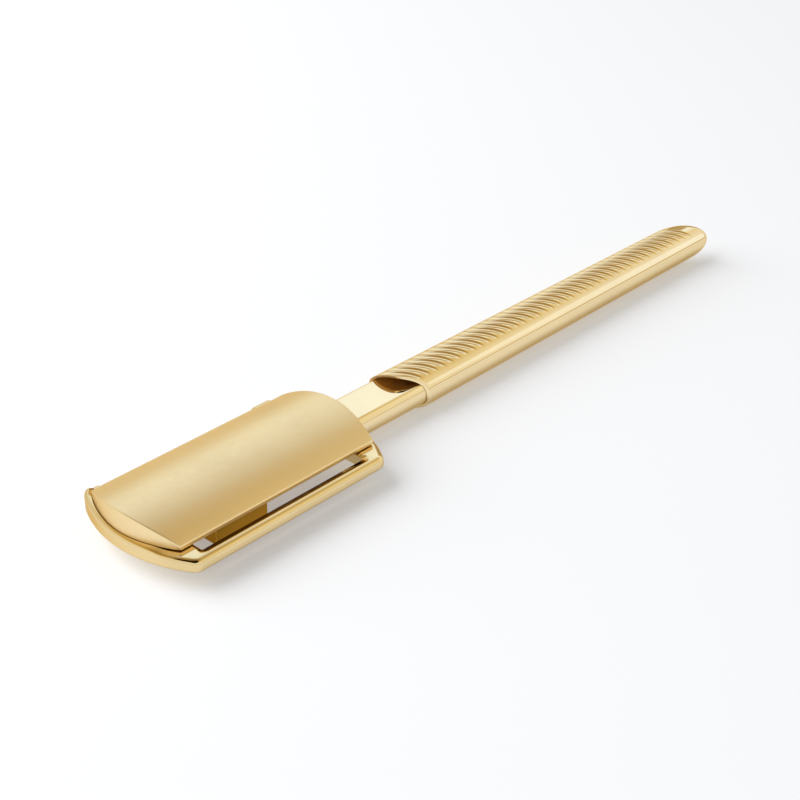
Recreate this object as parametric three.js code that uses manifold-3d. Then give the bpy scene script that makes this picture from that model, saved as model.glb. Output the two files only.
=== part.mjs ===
// A hair shaping razor: a domed cap hinged along one side of a slotted frame, a neck and an oval handle.
// Millimetres, +Z up, +X from the cap to the handle's end, +Y towards the hinge, -Y towards the guard bar.
import * as THREE from "three";
import { mergeVertices } from "three/addons/utils/BufferGeometryUtils.js";
import Module from "manifold-3d";

const wasm = await Module();
wasm.setup();

// Cap: length and width at its corners, rise of the arch, and how far its ends bow out in plan
const CAP_LENGTH = 56.4;
const CAP_WIDTH = 29;
const CAP_RISE = 4.5;
const CAP_EDGE = 1;
const CAP_FRONT_BOW = 4.6;
const CAP_REAR_BOW = 1.7;
const CAP_WALL = 1.4;
const CAP_OVER_AXIS = 3.55;
const SEAT_GAP = 0.2;

// Frame: a ring with a front lip, a guard bar, a spine beside the hinge and a rear wall for the neck
const FRAME_HEIGHT = 3.1;
const FRAME_ROUNDING = 0.9;
const LIP_MARGIN = 1.2;
const TAIL_MARGIN = 2.4;
const END_ARC_RADIUS = 32.5;
const CORNER_REACH = 1.3;
const LOBE_REACH = 3;
const LOBE_RUN = 1.2;
const SLOT_GAP = 1.85;
const BAR_WIDTH = 3.35;
const SPINE_WIDTH = 3.1;
const FRONT_WALL = 3.8;
const REAR_WALL = 5.3;
const WINDOW_RADIUS = 0.6;

// Hinge: a pin in two ears of the frame, with the cap's barrel and two washers between them
const HINGE_OUT = 1.4;
const HINGE_DROP = 2.5;
const HINGE_PIN_DIAMETER = 1.2;
const BARREL_DIAMETER = 2.3;
const EAR_DIAMETER = 2.9;
const FRONT_EAR_LENGTH = 2;
const REAR_EAR_LENGTH = 5.2;
const REAR_EAR_OVERHANG = 2.4;
const WASHER_DIAMETER = 2.3;
const WASHER_THICKNESS = 0.4;

// Blade, the seat under the cap that it lies against, and the clamp that holds it there
const BLADE_END_GAP = 0.4;
const BLADE_WIDTH = 9;
const BLADE_THICKNESS = 0.25;
const BLADE_BEVEL = 1;
const BLADE_SETBACK = 0.3;
const SEAT_WIDTH = 5;
const CLAMP_END_GAP = 2.75;
const CLAMP_WIDTH = 7;
const CLAMP_PLATE = 1;
const CLAMP_BLOCK_LENGTH = 14.7;
const CLAMP_BLOCK_HEIGHT = 4.4;
const CLAMP_BLOCK_FROM_FRONT = 4.4;
const SCREW_DIAMETER = 2;
const SCREW_HEAD_DIAMETER = 3.6;
const SCREW_HEAD_HEIGHT = 1.2;
const SCREW_BITE = 2.2;
const REAR_SCREW_FROM_END = 10;
const LOCATING_PIN_DIAMETER = 1.2;
const LOCATING_PIN_BITE = 1.8;
const LOCATING_PIN_FROM_END = 2.2;

// Magnetic catch: discs in the frame's end walls and steel keepers in the cap
const MAGNET_DIAMETER = 2.2;
const MAGNET_THICKNESS = 1.2;
const KEEPER_DIAMETER = 2.2;
const KEEPER_THICKNESS = 1;
const KEEPER_PAD_WALL = 1;
const CATCH_FROM_NEAR_EDGE = 4;
const CATCH_FROM_WINDOW = 2.5;

// Neck: an oval bar with a flat top, a tenon into the frame and a tang into the handle
const NECK_LENGTH = 16.1;
const NECK_FLAT_DROP = 1.6;
const NECK_HEEL = 4.5;
const NECK_RECESS = 1.4;
const TENON_LENGTH = 3;
const TENON_WIDTH = 3.2;
const TENON_HEIGHT = 1.7;
const TANG_WIDTH = 10.4;
const TANG_HEIGHT = 7.2;
const TANG_LENGTH = 38;
const NECK_SCREW_DIAMETER = 1.4;
const NECK_SCREW_HEAD_DIAMETER = 2.2;
const NECK_SCREW_HEAD_HEIGHT = 1.1;
const NECK_SCREW_SPREAD = 7.6;
const NECK_SCREW_BITE = 4.5;

// Handle: a tapering oval with a cut-back mouth and a slanted bevel over it, a slanted rounded end,
// grip grooves along its top and a narrow flat underneath that it lies on
const HANDLE_LENGTH = 126.4;
const MOUTH_WIDTH = 13.9;
const MOUTH_HEIGHT = 10.5;
const END_WIDTH = 12.6;
const END_HEIGHT = 9.6;
const END_DOME = 5.6;
const END_SLANT = 1;
const END_RAKE = 0.7;
const HANDLE_FLAT = 4;
const SOCKET_WALL = 0.65;
const SOCKET_DEPTH = 17;
const MOUTH_SET_BACK = 5.75;
const MOUTH_SLANT = 0.43;
const MOUTH_RAKE = -0.45;
const BEVEL_SET_BACK = 0.4;
const BEVEL_SLANT = 1.24;
const BEVEL_RAKE = 0.53;
const GROOVE_PITCH = 2.85;
const GROOVE_DEPTH = 0.4;
const GROOVE_WIDTH = 1.7;
const GROOVE_REACH = 4.4;
const GROOVE_SLANT = 0.8;
const GROOVE_FROM_BEVEL = 2.1;
const GROOVE_FROM_END = 2.6;
const GRUB_SCREW_DIAMETER = 3;
const GRUB_SCREW_SOCKET = 1.5;
const GRUB_SCREW_SINK = 0.25;
const GRUB_SCREW_FROM_SOCKET = 8;
const GRUB_SCREW_SPACING = 14;

// Clearances
const FIT = 0.15;
const RUN_FIT = 0.08;
const FACE_GAP = 0.05;
const TURN_GAP = 0.25;
const BORE_MARGIN = 0.3;

// How far a cut runs past what it cuts, and the distance at which points count as one
const PAST = 1;
const WELD = 1e-5;

// Fineness of the round forms
const ROUND_SIDES = 20;
const OVAL_SIDES = 36;
const ARCH_STEPS = 24;
const END_ARC_STEPS = 10;
const DOME_STEPS = 6;
const TIP_FLAT = 0.3;
const GROOVE_STEPS = 4;
const HEEL_STEPS = 4;
const KEY_SIDES = 6;

// Levels and lines that the pieces share
const axisZ = MOUTH_HEIGHT / 2;
const capEdgeZ = axisZ + CAP_OVER_AXIS;
const capBottomZ = capEdgeZ - CAP_EDGE;
const frameTopZ = capBottomZ - SEAT_GAP;
const frameBottomZ = frameTopZ - FRAME_HEIGHT;
const halfCap = CAP_WIDTH / 2;
const hingeY = halfCap + HINGE_OUT;
const hingeZ = capEdgeZ - HINGE_DROP;
const barInnerY = -halfCap - SLOT_GAP;
const barOuterY = barInnerY - BAR_WIDTH;
const spineOuterY = hingeY - BARREL_DIAMETER / 2 - TURN_GAP;
const spineInnerY = spineOuterY - SPINE_WIDTH;
const earOuterY = hingeY + EAR_DIAMETER / 2;
const windowFrontX = FRONT_WALL;
const windowRearX = CAP_LENGTH - REAR_WALL;
const frontTipX = -CAP_FRONT_BOW - LIP_MARGIN;
const rearTipX = CAP_LENGTH + CAP_REAR_BOW + TAIL_MARGIN;
const frameMidY = (barOuterY + earOuterY) / 2;
const bladeTopZ = capBottomZ - FACE_GAP;
const bladeBottomZ = bladeTopZ - BLADE_THICKNESS;
const bladeEdgeY = -halfCap + BLADE_SETBACK;
const bladeBackY = bladeEdgeY + BLADE_WIDTH;
const bladeMidX = (windowFrontX + windowRearX) / 2;
const bladeLength = windowRearX - windowFrontX - 2 * BLADE_END_GAP;
const clampLength = bladeLength - 2 * CLAMP_END_GAP;
const clampTopZ = bladeBottomZ - FACE_GAP;
const clampBottomZ = clampTopZ - CLAMP_PLATE;
const clampFrontX = bladeMidX - clampLength / 2;
const clampFarY = bladeBackY;
const clampNearY = clampFarY - CLAMP_WIDTH;
const clampLineY = (clampNearY + clampFarY) / 2;
const neckSeatX = rearTipX - NECK_RECESS;
const mouthX = neckSeatX + NECK_LENGTH;
const handleEndX = mouthX + HANDLE_LENGTH;
const socketEndX = mouthX + SOCKET_DEPTH;
const tangEndX = socketEndX + TANG_LENGTH;

// Joining and cutting of closed meshes
function solid(geometry) {
  const bare = geometry.index ? geometry.toNonIndexed() : geometry.clone();
  bare.deleteAttribute("normal");
  bare.deleteAttribute("uv");
  const merged = mergeVertices(bare, WELD);
  return new wasm.Manifold(
    new wasm.Mesh({
      numProp: 3,
      vertProperties: new Float32Array(merged.attributes.position.array),
      triVerts: new Uint32Array(merged.index.array),
    }),
  );
}

function geometryOf(body) {
  const mesh = body.getMesh();
  const geometry = new THREE.BufferGeometry();
  geometry.setAttribute("position", new THREE.BufferAttribute(mesh.vertProperties, 3));
  geometry.setIndex(new THREE.BufferAttribute(mesh.triVerts, 1));
  return geometry;
}

// A box between two corners
function box(x0, x1, y0, y1, z0, z1) {
  const geometry = new THREE.BoxGeometry(x1 - x0, y1 - y0, z1 - z0);
  geometry.translate((x0 + x1) / 2, (y0 + y1) / 2, (z0 + z1) / 2);
  return solid(geometry);
}

// A round rod along X
function rodX(x0, x1, y, z, diameter) {
  const geometry = new THREE.CylinderGeometry(diameter / 2, diameter / 2, x1 - x0, ROUND_SIDES);
  geometry.rotateZ(-Math.PI / 2);
  geometry.translate((x0 + x1) / 2, y, z);
  return solid(geometry);
}

// A round or six-sided rod along Z
function rodZ(x, y, z0, z1, diameter, sides = ROUND_SIDES) {
  const geometry = new THREE.CylinderGeometry(diameter / 2, diameter / 2, z1 - z0, sides);
  geometry.rotateX(Math.PI / 2);
  geometry.translate(x, y, (z0 + z1) / 2);
  return solid(geometry);
}

// A prism along X whose section is given in Y and Z
function prismX(section, x0, x1) {
  const shape = new THREE.Shape(section.map(([y, z]) => new THREE.Vector2(y, z)));
  const geometry = new THREE.ExtrudeGeometry(shape, { depth: x1 - x0, bevelEnabled: false });
  const alongX = new THREE.Matrix4().makeBasis(
    new THREE.Vector3(0, 1, 0),
    new THREE.Vector3(0, 0, 1),
    new THREE.Vector3(1, 0, 0),
  );
  geometry.applyMatrix4(alongX);
  geometry.translate(x0, 0, 0);
  return solid(geometry);
}

// A skin over rings of equally many points, closed at both ends
function loft(rings) {
  const count = rings[0].length;
  const points = rings.flat();
  const triangles = [];
  for (let r = 0; r + 1 < rings.length; r++) {
    for (let i = 0; i < count; i++) {
      const a = r * count + i;
      const b = r * count + ((i + 1) % count);
      triangles.push(a, b, b + count, a, b + count, a + count);
    }
  }
  const last = (rings.length - 1) * count;
  for (let i = 1; i + 1 < count; i++) {
    triangles.push(0, i + 1, i);
    triangles.push(last, last + i, last + i + 1);
  }
  const geometry = new THREE.BufferGeometry().setFromPoints(points);
  geometry.setIndex(triangles);
  return solid(geometry);
}

// An oval ring across X, counted so that a loft towards +X faces out
function ovalRing(x, halfWidth, halfHeight, shape = (y, z) => [y, z]) {
  const ring = [];
  for (let i = 0; i < OVAL_SIDES; i++) {
    const angle = (i / OVAL_SIDES) * 2 * Math.PI;
    const [y, z] = shape(halfWidth * Math.cos(angle), halfHeight * Math.sin(angle));
    ring.push(new THREE.Vector3(x, y, axisZ + z));
  }
  return ring;
}

// Height of the cap's arch over its edge, at a distance from its middle line
function archHeight(y) {
  const radius = (halfCap * halfCap + CAP_RISE * CAP_RISE) / (2 * CAP_RISE);
  return Math.sqrt(radius * radius - y * y) - (radius - CAP_RISE);
}

function bow(y) {
  return 1 - (y / halfCap) ** 2;
}

// The space under the arch, drawn in all round by an inset and reaching down to a level
function domedBody(inset, drop, bottomZ) {
  const rings = [];
  for (let i = 0; i <= ARCH_STEPS; i++) {
    const y = (halfCap - inset) * ((2 * i) / ARCH_STEPS - 1);
    const front = inset - CAP_FRONT_BOW * bow(y);
    const rear = CAP_LENGTH - inset + CAP_REAR_BOW * bow(y);
    const top = capEdgeZ + archHeight(y) - drop;
    rings.push([
      new THREE.Vector3(front, y, bottomZ),
      new THREE.Vector3(front, y, top),
      new THREE.Vector3(rear, y, top),
      new THREE.Vector3(rear, y, bottomZ),
    ]);
  }
  return loft(rings);
}

// Places that the cap, the frame and their small pieces share
const frontEarX = [windowFrontX - FRONT_EAR_LENGTH, windowFrontX];
const rearEarX = [windowRearX - REAR_EAR_OVERHANG, windowRearX - REAR_EAR_OVERHANG + REAR_EAR_LENGTH];
const frontWasherX = windowFrontX + FACE_GAP;
const rearWasherX = rearEarX[0] - FACE_GAP - WASHER_THICKNESS;
const barrelX = [frontWasherX + WASHER_THICKNESS + FACE_GAP, rearWasherX - FACE_GAP];
const catchY = -halfCap + CATCH_FROM_NEAR_EDGE;
const catchX = { front: windowFrontX - CATCH_FROM_WINDOW, rear: windowRearX + CATCH_FROM_WINDOW };
const clampScrewX = {
  front: clampFrontX + CLAMP_BLOCK_FROM_FRONT + CLAMP_BLOCK_LENGTH / 2,
  rear: clampFrontX + clampLength - REAR_SCREW_FROM_END,
};
const clampScrewHeadZ = {
  front: clampBottomZ - CLAMP_BLOCK_HEIGHT + SCREW_HEAD_HEIGHT + FIT,
  rear: clampBottomZ - FACE_GAP,
};
const locatingPinX = {
  front: clampFrontX + LOCATING_PIN_FROM_END,
  rear: clampFrontX + clampLength - LOCATING_PIN_FROM_END,
};
const neckScrewZ = (frameTopZ + frameBottomZ) / 2;
const neckScrewY = { near: -NECK_SCREW_SPREAD / 2, far: NECK_SCREW_SPREAD / 2 };
const grubScrewX = {
  front: socketEndX + GRUB_SCREW_FROM_SOCKET,
  rear: socketEndX + GRUB_SCREW_FROM_SOCKET + GRUB_SCREW_SPACING,
};

// Outline of the frame: bowed ends, a straight bar on the near side and a straight spine on the far side
function frameOutline() {
  const shape = new THREE.Shape();
  const frontMidX = frontTipX + END_ARC_RADIUS;
  const rearMidX = rearTipX - END_ARC_RADIUS;
  const angleAt = (y) => Math.asin((y - frameMidY) / END_ARC_RADIUS);
  const runAt = (y) => END_ARC_RADIUS * Math.cos(angleAt(y));
  const onArc = (midX, angle) => [
    midX + END_ARC_RADIUS * Math.cos(angle),
    frameMidY + END_ARC_RADIUS * Math.sin(angle),
  ];
  const nearY = barOuterY + CORNER_REACH;
  const farY = earOuterY - TURN_GAP;
  const farCornerY = farY - LOBE_REACH;
  const frontArc = [Math.PI - angleAt(farCornerY), Math.PI - angleAt(nearY)];
  shape.absarc(frontMidX, frameMidY, END_ARC_RADIUS, frontArc[0], frontArc[1], false);
  const nearFrontX = frontMidX - runAt(barOuterY);
  const nearRearX = rearMidX + runAt(barOuterY);
  shape.quadraticCurveTo(nearFrontX, barOuterY, nearFrontX + CORNER_REACH, barOuterY);
  shape.lineTo(nearRearX - CORNER_REACH, barOuterY);
  shape.quadraticCurveTo(nearRearX, barOuterY, ...onArc(rearMidX, angleAt(nearY)));
  shape.absarc(rearMidX, frameMidY, END_ARC_RADIUS, angleAt(nearY), angleAt(spineOuterY), false);
  shape.lineTo(windowFrontX, spineOuterY);
  shape.lineTo(windowFrontX, farY);
  const farFrontX = frontMidX - runAt(farY);
  const lobeX = windowFrontX - LOBE_RUN;
  shape.lineTo(lobeX, farY);
  shape.quadraticCurveTo(Math.min(farFrontX, lobeX - LOBE_RUN), farY, ...onArc(frontMidX, frontArc[0]));

  const hole = new THREE.Path();
  const r = WINDOW_RADIUS;
  hole.absarc(windowRearX - r, spineInnerY - r, r, 0, Math.PI / 2, false);
  hole.absarc(windowFrontX + r, spineInnerY - r, r, Math.PI / 2, Math.PI, false);
  hole.absarc(windowFrontX + r, barInnerY + r, r, Math.PI, 1.5 * Math.PI, false);
  hole.absarc(windowRearX - r, barInnerY + r, r, 1.5 * Math.PI, 2 * Math.PI, false);
  hole.closePath();
  shape.holes.push(hole);
  return shape;
}

// Head frame with hinge ears, seats for the magnets and a pocket for the neck
function headFrame() {
  const ring = new THREE.ExtrudeGeometry(frameOutline(), {
    depth: FRAME_HEIGHT - 2 * FRAME_ROUNDING,
    bevelThickness: FRAME_ROUNDING,
    bevelSize: FRAME_ROUNDING,
    bevelOffset: -FRAME_ROUNDING,
    bevelSegments: 2,
    curveSegments: END_ARC_STEPS,
  });
  ring.translate(0, 0, frameBottomZ + FRAME_ROUNDING);
  let body = solid(ring);
  for (const [x0, x1] of [frontEarX, rearEarX]) {
    body = body.add(rodX(x0, x1, hingeY, hingeZ, EAR_DIAMETER));
    const footY = spineOuterY - FRAME_ROUNDING;
    body = body.add(box(x0, x1, footY, hingeY, frameBottomZ + FRAME_ROUNDING, frameTopZ));
  }
  const pinHole = HINGE_PIN_DIAMETER + 2 * RUN_FIT;
  const pinHoleX = frontEarX[0] + FACE_GAP + BORE_MARGIN;
  body = body.subtract(rodX(pinHoleX, rearEarX[1] + PAST, hingeY, hingeZ, pinHole));
  for (const x of Object.values(catchX)) {
    const seatZ = frameTopZ - MAGNET_THICKNESS - 2 * FACE_GAP;
    body = body.subtract(rodZ(x, catchY, seatZ, frameTopZ + PAST, MAGNET_DIAMETER + 2 * FIT));
  }
  const pocketHalf = neckHalfWidth + FIT;
  body = body.subtract(
    box(neckSeatX, rearTipX + PAST, -pocketHalf, pocketHalf, frameBottomZ - PAST, frameTopZ + PAST),
  );
  const mortiseWidth = TENON_WIDTH / 2 + FIT;
  const mortiseHeight = TENON_HEIGHT / 2 + FIT;
  body = body.subtract(
    box(
      neckSeatX - TENON_LENGTH - BORE_MARGIN,
      neckSeatX + PAST,
      -mortiseWidth,
      mortiseWidth,
      neckScrewZ - mortiseHeight,
      neckScrewZ + mortiseHeight,
    ),
  );
  for (const y of Object.values(neckScrewY)) {
    const headEnd = windowRearX + NECK_SCREW_HEAD_HEIGHT + 2 * FACE_GAP;
    const headHole = NECK_SCREW_HEAD_DIAMETER + 2 * FIT;
    const shankHole = NECK_SCREW_DIAMETER + 2 * FIT;
    body = body.subtract(rodX(windowRearX - PAST, headEnd, y, neckScrewZ, headHole));
    body = body.subtract(rodX(windowRearX, neckSeatX + PAST, y, neckScrewZ, shankHole));
  }
  return body;
}

// Cap: a domed shell with the hinge barrel, the blade's seat and pads for the keepers
function cap() {
  let body = domedBody(0, 0, capBottomZ);
  body = body.subtract(domedBody(CAP_WALL, CAP_WALL, capBottomZ - PAST));
  const [barrelFront, barrelRear] = barrelX;
  body = body.add(rodX(barrelFront, barrelRear, hingeY, hingeZ, BARREL_DIAMETER));
  const webInnerY = hingeY - BARREL_DIAMETER / 2;
  const web = [
    [webInnerY, hingeZ],
    [hingeY, hingeZ],
    [hingeY, hingeZ + BARREL_DIAMETER / 2],
    [halfCap - CAP_EDGE / 4, capEdgeZ - CAP_EDGE / 4],
    [halfCap - CAP_WALL / 2, capEdgeZ - CAP_EDGE / 4],
    [halfCap - CAP_WALL / 2, capBottomZ],
    [webInnerY, capBottomZ],
  ];
  body = body.add(prismX(web, barrelFront, barrelRear));
  const pinHole = HINGE_PIN_DIAMETER + 2 * RUN_FIT;
  body = body.subtract(rodX(barrelFront - PAST, barrelRear + PAST, hingeY, hingeZ, pinHole));

  const ceiling = (y) => capEdgeZ + archHeight(y) - CAP_WALL / 2;
  const seatNear = clampLineY - SEAT_WIDTH / 2;
  const seatFar = clampLineY + SEAT_WIDTH / 2;
  const seatX = [clampFrontX, clampFrontX + clampLength];
  const seat = [
    [seatNear, bladeTopZ],
    [seatFar, bladeTopZ],
    [seatFar, ceiling(seatFar)],
    [seatNear, ceiling(seatNear)],
  ];
  body = body.add(prismX(seat, seatX[0], seatX[1]));
  for (const x of Object.values(clampScrewX)) {
    const top = bladeTopZ + SCREW_BITE + BORE_MARGIN;
    body = body.subtract(rodZ(x, clampLineY, bladeTopZ - PAST, top, SCREW_DIAMETER + 2 * FIT));
  }
  for (const x of Object.values(locatingPinX)) {
    const top = bladeTopZ + LOCATING_PIN_BITE + BORE_MARGIN;
    body = body.subtract(rodZ(x, clampLineY, bladeTopZ - PAST, top, LOCATING_PIN_DIAMETER + 2 * FIT));
  }
  const padHalf = KEEPER_DIAMETER / 2 + FIT + KEEPER_PAD_WALL;
  for (const x of Object.values(catchX)) {
    const pad = [
      [catchY - padHalf, capBottomZ],
      [catchY + padHalf, capBottomZ],
      [catchY + padHalf, ceiling(catchY + padHalf)],
      [catchY - padHalf, ceiling(catchY - padHalf)],
    ];
    const underArch = domedBody(CAP_WALL / 2, CAP_WALL / 2, capBottomZ);
    body = body.add(prismX(pad, x - padHalf, x + padHalf).intersect(underArch));
    const top = capBottomZ + KEEPER_THICKNESS + 2 * FACE_GAP;
    body = body.subtract(rodZ(x, catchY, capBottomZ - PAST, top, KEEPER_DIAMETER + 2 * FIT));
  }
  return body;
}

function hingePin() {
  return rodX(frontEarX[0] + 2 * BORE_MARGIN, rearEarX[1], hingeY, hingeZ, HINGE_PIN_DIAMETER);
}

function hingeWasher(x) {
  const ring = rodX(x, x + WASHER_THICKNESS, hingeY, hingeZ, WASHER_DIAMETER);
  return ring.subtract(rodX(x - PAST, x + PAST, hingeY, hingeZ, HINGE_PIN_DIAMETER + 2 * RUN_FIT));
}

function magnet(x) {
  return rodZ(x, catchY, frameTopZ - MAGNET_THICKNESS - FACE_GAP, frameTopZ - FACE_GAP, MAGNET_DIAMETER);
}

function keeper(x) {
  return rodZ(x, catchY, capBottomZ + FACE_GAP, capBottomZ + FACE_GAP + KEEPER_THICKNESS, KEEPER_DIAMETER);
}

// Blade: a flat strip ground to an edge on the bar's side, with holes for its pins and screws
function blade() {
  const x0 = bladeMidX - bladeLength / 2;
  const x1 = bladeMidX + bladeLength / 2;
  const section = [
    [bladeEdgeY, bladeTopZ - BLADE_THICKNESS / 2],
    [bladeEdgeY + BLADE_BEVEL, bladeBottomZ],
    [bladeBackY, bladeBottomZ],
    [bladeBackY, bladeTopZ],
    [bladeEdgeY + BLADE_BEVEL, bladeTopZ],
  ];
  let body = prismX(section, x0, x1);
  for (const x of Object.values(clampScrewX)) {
    const hole = SCREW_DIAMETER + 2 * FIT;
    body = body.subtract(rodZ(x, clampLineY, bladeBottomZ - PAST, bladeTopZ + PAST, hole));
  }
  for (const x of Object.values(locatingPinX)) {
    const hole = LOCATING_PIN_DIAMETER + 2 * FIT;
    body = body.subtract(rodZ(x, clampLineY, bladeBottomZ - PAST, bladeTopZ + PAST, hole));
  }
  return body;
}

// Clamp: a plate under the blade with a finger block in its front half
function bladeClamp() {
  const blockX = clampFrontX + CLAMP_BLOCK_FROM_FRONT;
  const blockBottomZ = clampBottomZ - CLAMP_BLOCK_HEIGHT;
  const blockEndX = blockX + CLAMP_BLOCK_LENGTH;
  const clampRearX = clampFrontX + clampLength;
  let body = box(clampFrontX, clampRearX, clampNearY, clampFarY, clampBottomZ, clampTopZ);
  body = body.add(box(blockX, blockEndX, clampNearY, clampFarY, blockBottomZ, clampTopZ));
  for (const x of Object.values(clampScrewX)) {
    const hole = SCREW_DIAMETER + 2 * FIT;
    body = body.subtract(rodZ(x, clampLineY, blockBottomZ - PAST, clampTopZ + PAST, hole));
  }
  const head = SCREW_HEAD_DIAMETER + 2 * FIT;
  const headSeatZ = clampScrewHeadZ.front + FACE_GAP;
  body = body.subtract(rodZ(clampScrewX.front, clampLineY, blockBottomZ - PAST, headSeatZ, head));
  for (const x of Object.values(locatingPinX)) {
    const hole = LOCATING_PIN_DIAMETER + 2 * FIT;
    body = body.subtract(rodZ(x, clampLineY, clampBottomZ - PAST, clampTopZ + PAST, hole));
  }
  return body;
}

// A clamp screw with its head below and a six-sided key socket in the head
function clampScrew(x, headTopZ) {
  const headBottomZ = headTopZ - SCREW_HEAD_HEIGHT;
  let body = rodZ(x, clampLineY, headBottomZ, headTopZ, SCREW_HEAD_DIAMETER);
  const keyTopZ = headBottomZ + SCREW_HEAD_HEIGHT / 2;
  body = body.add(rodZ(x, clampLineY, keyTopZ, bladeTopZ + SCREW_BITE, SCREW_DIAMETER));
  const key = rodZ(x, clampLineY, headBottomZ - PAST, keyTopZ, SCREW_HEAD_DIAMETER / 2, KEY_SIDES);
  return body.subtract(key);
}

function locatingPin(x) {
  return rodZ(x, clampLineY, clampBottomZ, bladeTopZ + LOCATING_PIN_BITE, LOCATING_PIN_DIAMETER);
}

// Neck: the oval bar starts with a short heel behind the frame and runs on into the handle as a tang
const neckHalfWidth = MOUTH_WIDTH / 2 - SOCKET_WALL - FIT;
const neckHalfHeight = MOUTH_HEIGHT / 2 - SOCKET_WALL - FIT;
const neckFlat = neckHalfHeight - NECK_FLAT_DROP;

function neckRing(x, depth) {
  return ovalRing(x, neckHalfWidth, neckHalfHeight, (y, z) => {
    const flattened = Math.min(z, neckFlat);
    return [y, flattened < 0 ? (flattened * depth) / neckHalfHeight : flattened];
  });
}

function neck() {
  const frontX = neckSeatX + FACE_GAP;
  const heelDepth = axisZ - frameBottomZ;
  const rings = [];
  for (let i = 0; i <= HEEL_STEPS; i++) {
    const t = i / HEEL_STEPS;
    const swell = Math.sin((t * Math.PI) / 2);
    rings.push(neckRing(frontX + NECK_HEEL * t, heelDepth + (neckHalfHeight - heelDepth) * swell));
  }
  rings.push(neckRing(socketEndX - BORE_MARGIN, neckHalfHeight));
  let body = loft(rings);
  const tangFrontX = socketEndX - BORE_MARGIN - PAST;
  const tangHalves = [TANG_WIDTH / 2, TANG_HEIGHT / 2];
  body = body.add(loft([ovalRing(tangFrontX, ...tangHalves), ovalRing(tangEndX, ...tangHalves)]));
  body = body.add(
    box(
      neckSeatX - TENON_LENGTH,
      frontX + PAST,
      -TENON_WIDTH / 2,
      TENON_WIDTH / 2,
      neckScrewZ - TENON_HEIGHT / 2,
      neckScrewZ + TENON_HEIGHT / 2,
    ),
  );
  for (const y of Object.values(neckScrewY)) {
    const end = neckSeatX + NECK_SCREW_BITE + BORE_MARGIN;
    body = body.subtract(rodX(neckSeatX - PAST, end, y, neckScrewZ, NECK_SCREW_DIAMETER + 2 * FIT));
  }
  return body;
}

function neckScrew(y) {
  const headX = windowRearX + FACE_GAP;
  const shoulderX = headX + NECK_SCREW_HEAD_HEIGHT;
  let body = rodX(headX, shoulderX, y, neckScrewZ, NECK_SCREW_HEAD_DIAMETER);
  const shankX = [headX + NECK_SCREW_HEAD_HEIGHT / 2, neckSeatX + NECK_SCREW_BITE];
  body = body.add(rodX(...shankX, y, neckScrewZ, NECK_SCREW_DIAMETER));
  const slotHalf = NECK_SCREW_HEAD_DIAMETER / 10;
  const slotDepth = NECK_SCREW_HEAD_HEIGHT / 3;
  const slot = box(
    headX - PAST,
    headX + slotDepth,
    y - slotHalf,
    y + slotHalf,
    neckScrewZ - NECK_SCREW_HEAD_DIAMETER,
    neckScrewZ + NECK_SCREW_HEAD_DIAMETER,
  );
  return body.subtract(slot);
}

// Half width and half height of the handle at a place along it
function handleHalves(x) {
  const t = (x - mouthX) / HANDLE_LENGTH;
  return [
    (MOUTH_WIDTH + (END_WIDTH - MOUTH_WIDTH) * t) / 2,
    (MOUTH_HEIGHT + (END_HEIGHT - MOUTH_HEIGHT) * t) / 2,
  ];
}

// How far the flat underneath lies over the bottom of the full oval
function flatRise(halfWidth, halfHeight) {
  return halfHeight * (1 - Math.sqrt(1 - (HANDLE_FLAT / 2 / halfWidth) ** 2));
}

// A ring of the handle, with its flat
function handleRing(x, halfWidth, halfHeight, scale = 1) {
  const lowest = (flatRise(halfWidth, halfHeight) - halfHeight) * scale;
  const corner = (HANDLE_FLAT / 2) * scale;
  return ovalRing(x, halfWidth * scale, halfHeight * scale, (y, z) => {
    const onFlat = z < lowest;
    return onFlat ? [corner * Math.round(y / corner), lowest] : [y, z];
  });
}

// A grip groove: a shallow vee that follows the top of the oval and runs out to nothing at both ends
function groove(x) {
  const [halfWidth, halfHeight] = handleHalves(x);
  const slope = GROOVE_WIDTH / 2 / GROOVE_DEPTH;
  const rings = [];
  for (let i = 0; i <= GROOVE_STEPS; i++) {
    const y = GROOVE_REACH * (1 - (2 * i) / GROOVE_STEPS);
    const surface = axisZ + halfHeight * Math.sqrt(1 - (y / halfWidth) ** 2);
    const depth = GROOVE_DEPTH * (1 - (y / GROOVE_REACH) ** 2);
    const middle = x - GROOVE_SLANT * y;
    const spread = slope * (depth + GROOVE_DEPTH);
    rings.push([
      new THREE.Vector3(middle, y, surface - depth),
      new THREE.Vector3(middle + spread, y, surface + GROOVE_DEPTH),
      new THREE.Vector3(middle - spread, y, surface + GROOVE_DEPTH),
    ]);
  }
  return loft(rings);
}

// A large block that takes away everything in front of a slanted plane
function slantedCut(x, slant, rake, away) {
  const block = new THREE.BoxGeometry(away, away, away);
  block.translate(-away / 2, 0, 0);
  const shear = new THREE.Matrix4();
  shear.set(1, -slant, rake, x, 0, 1, 0, 0, 0, 0, 1, axisZ, 0, 0, 0, 1);
  block.applyMatrix4(shear);
  return solid(block);
}

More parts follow.
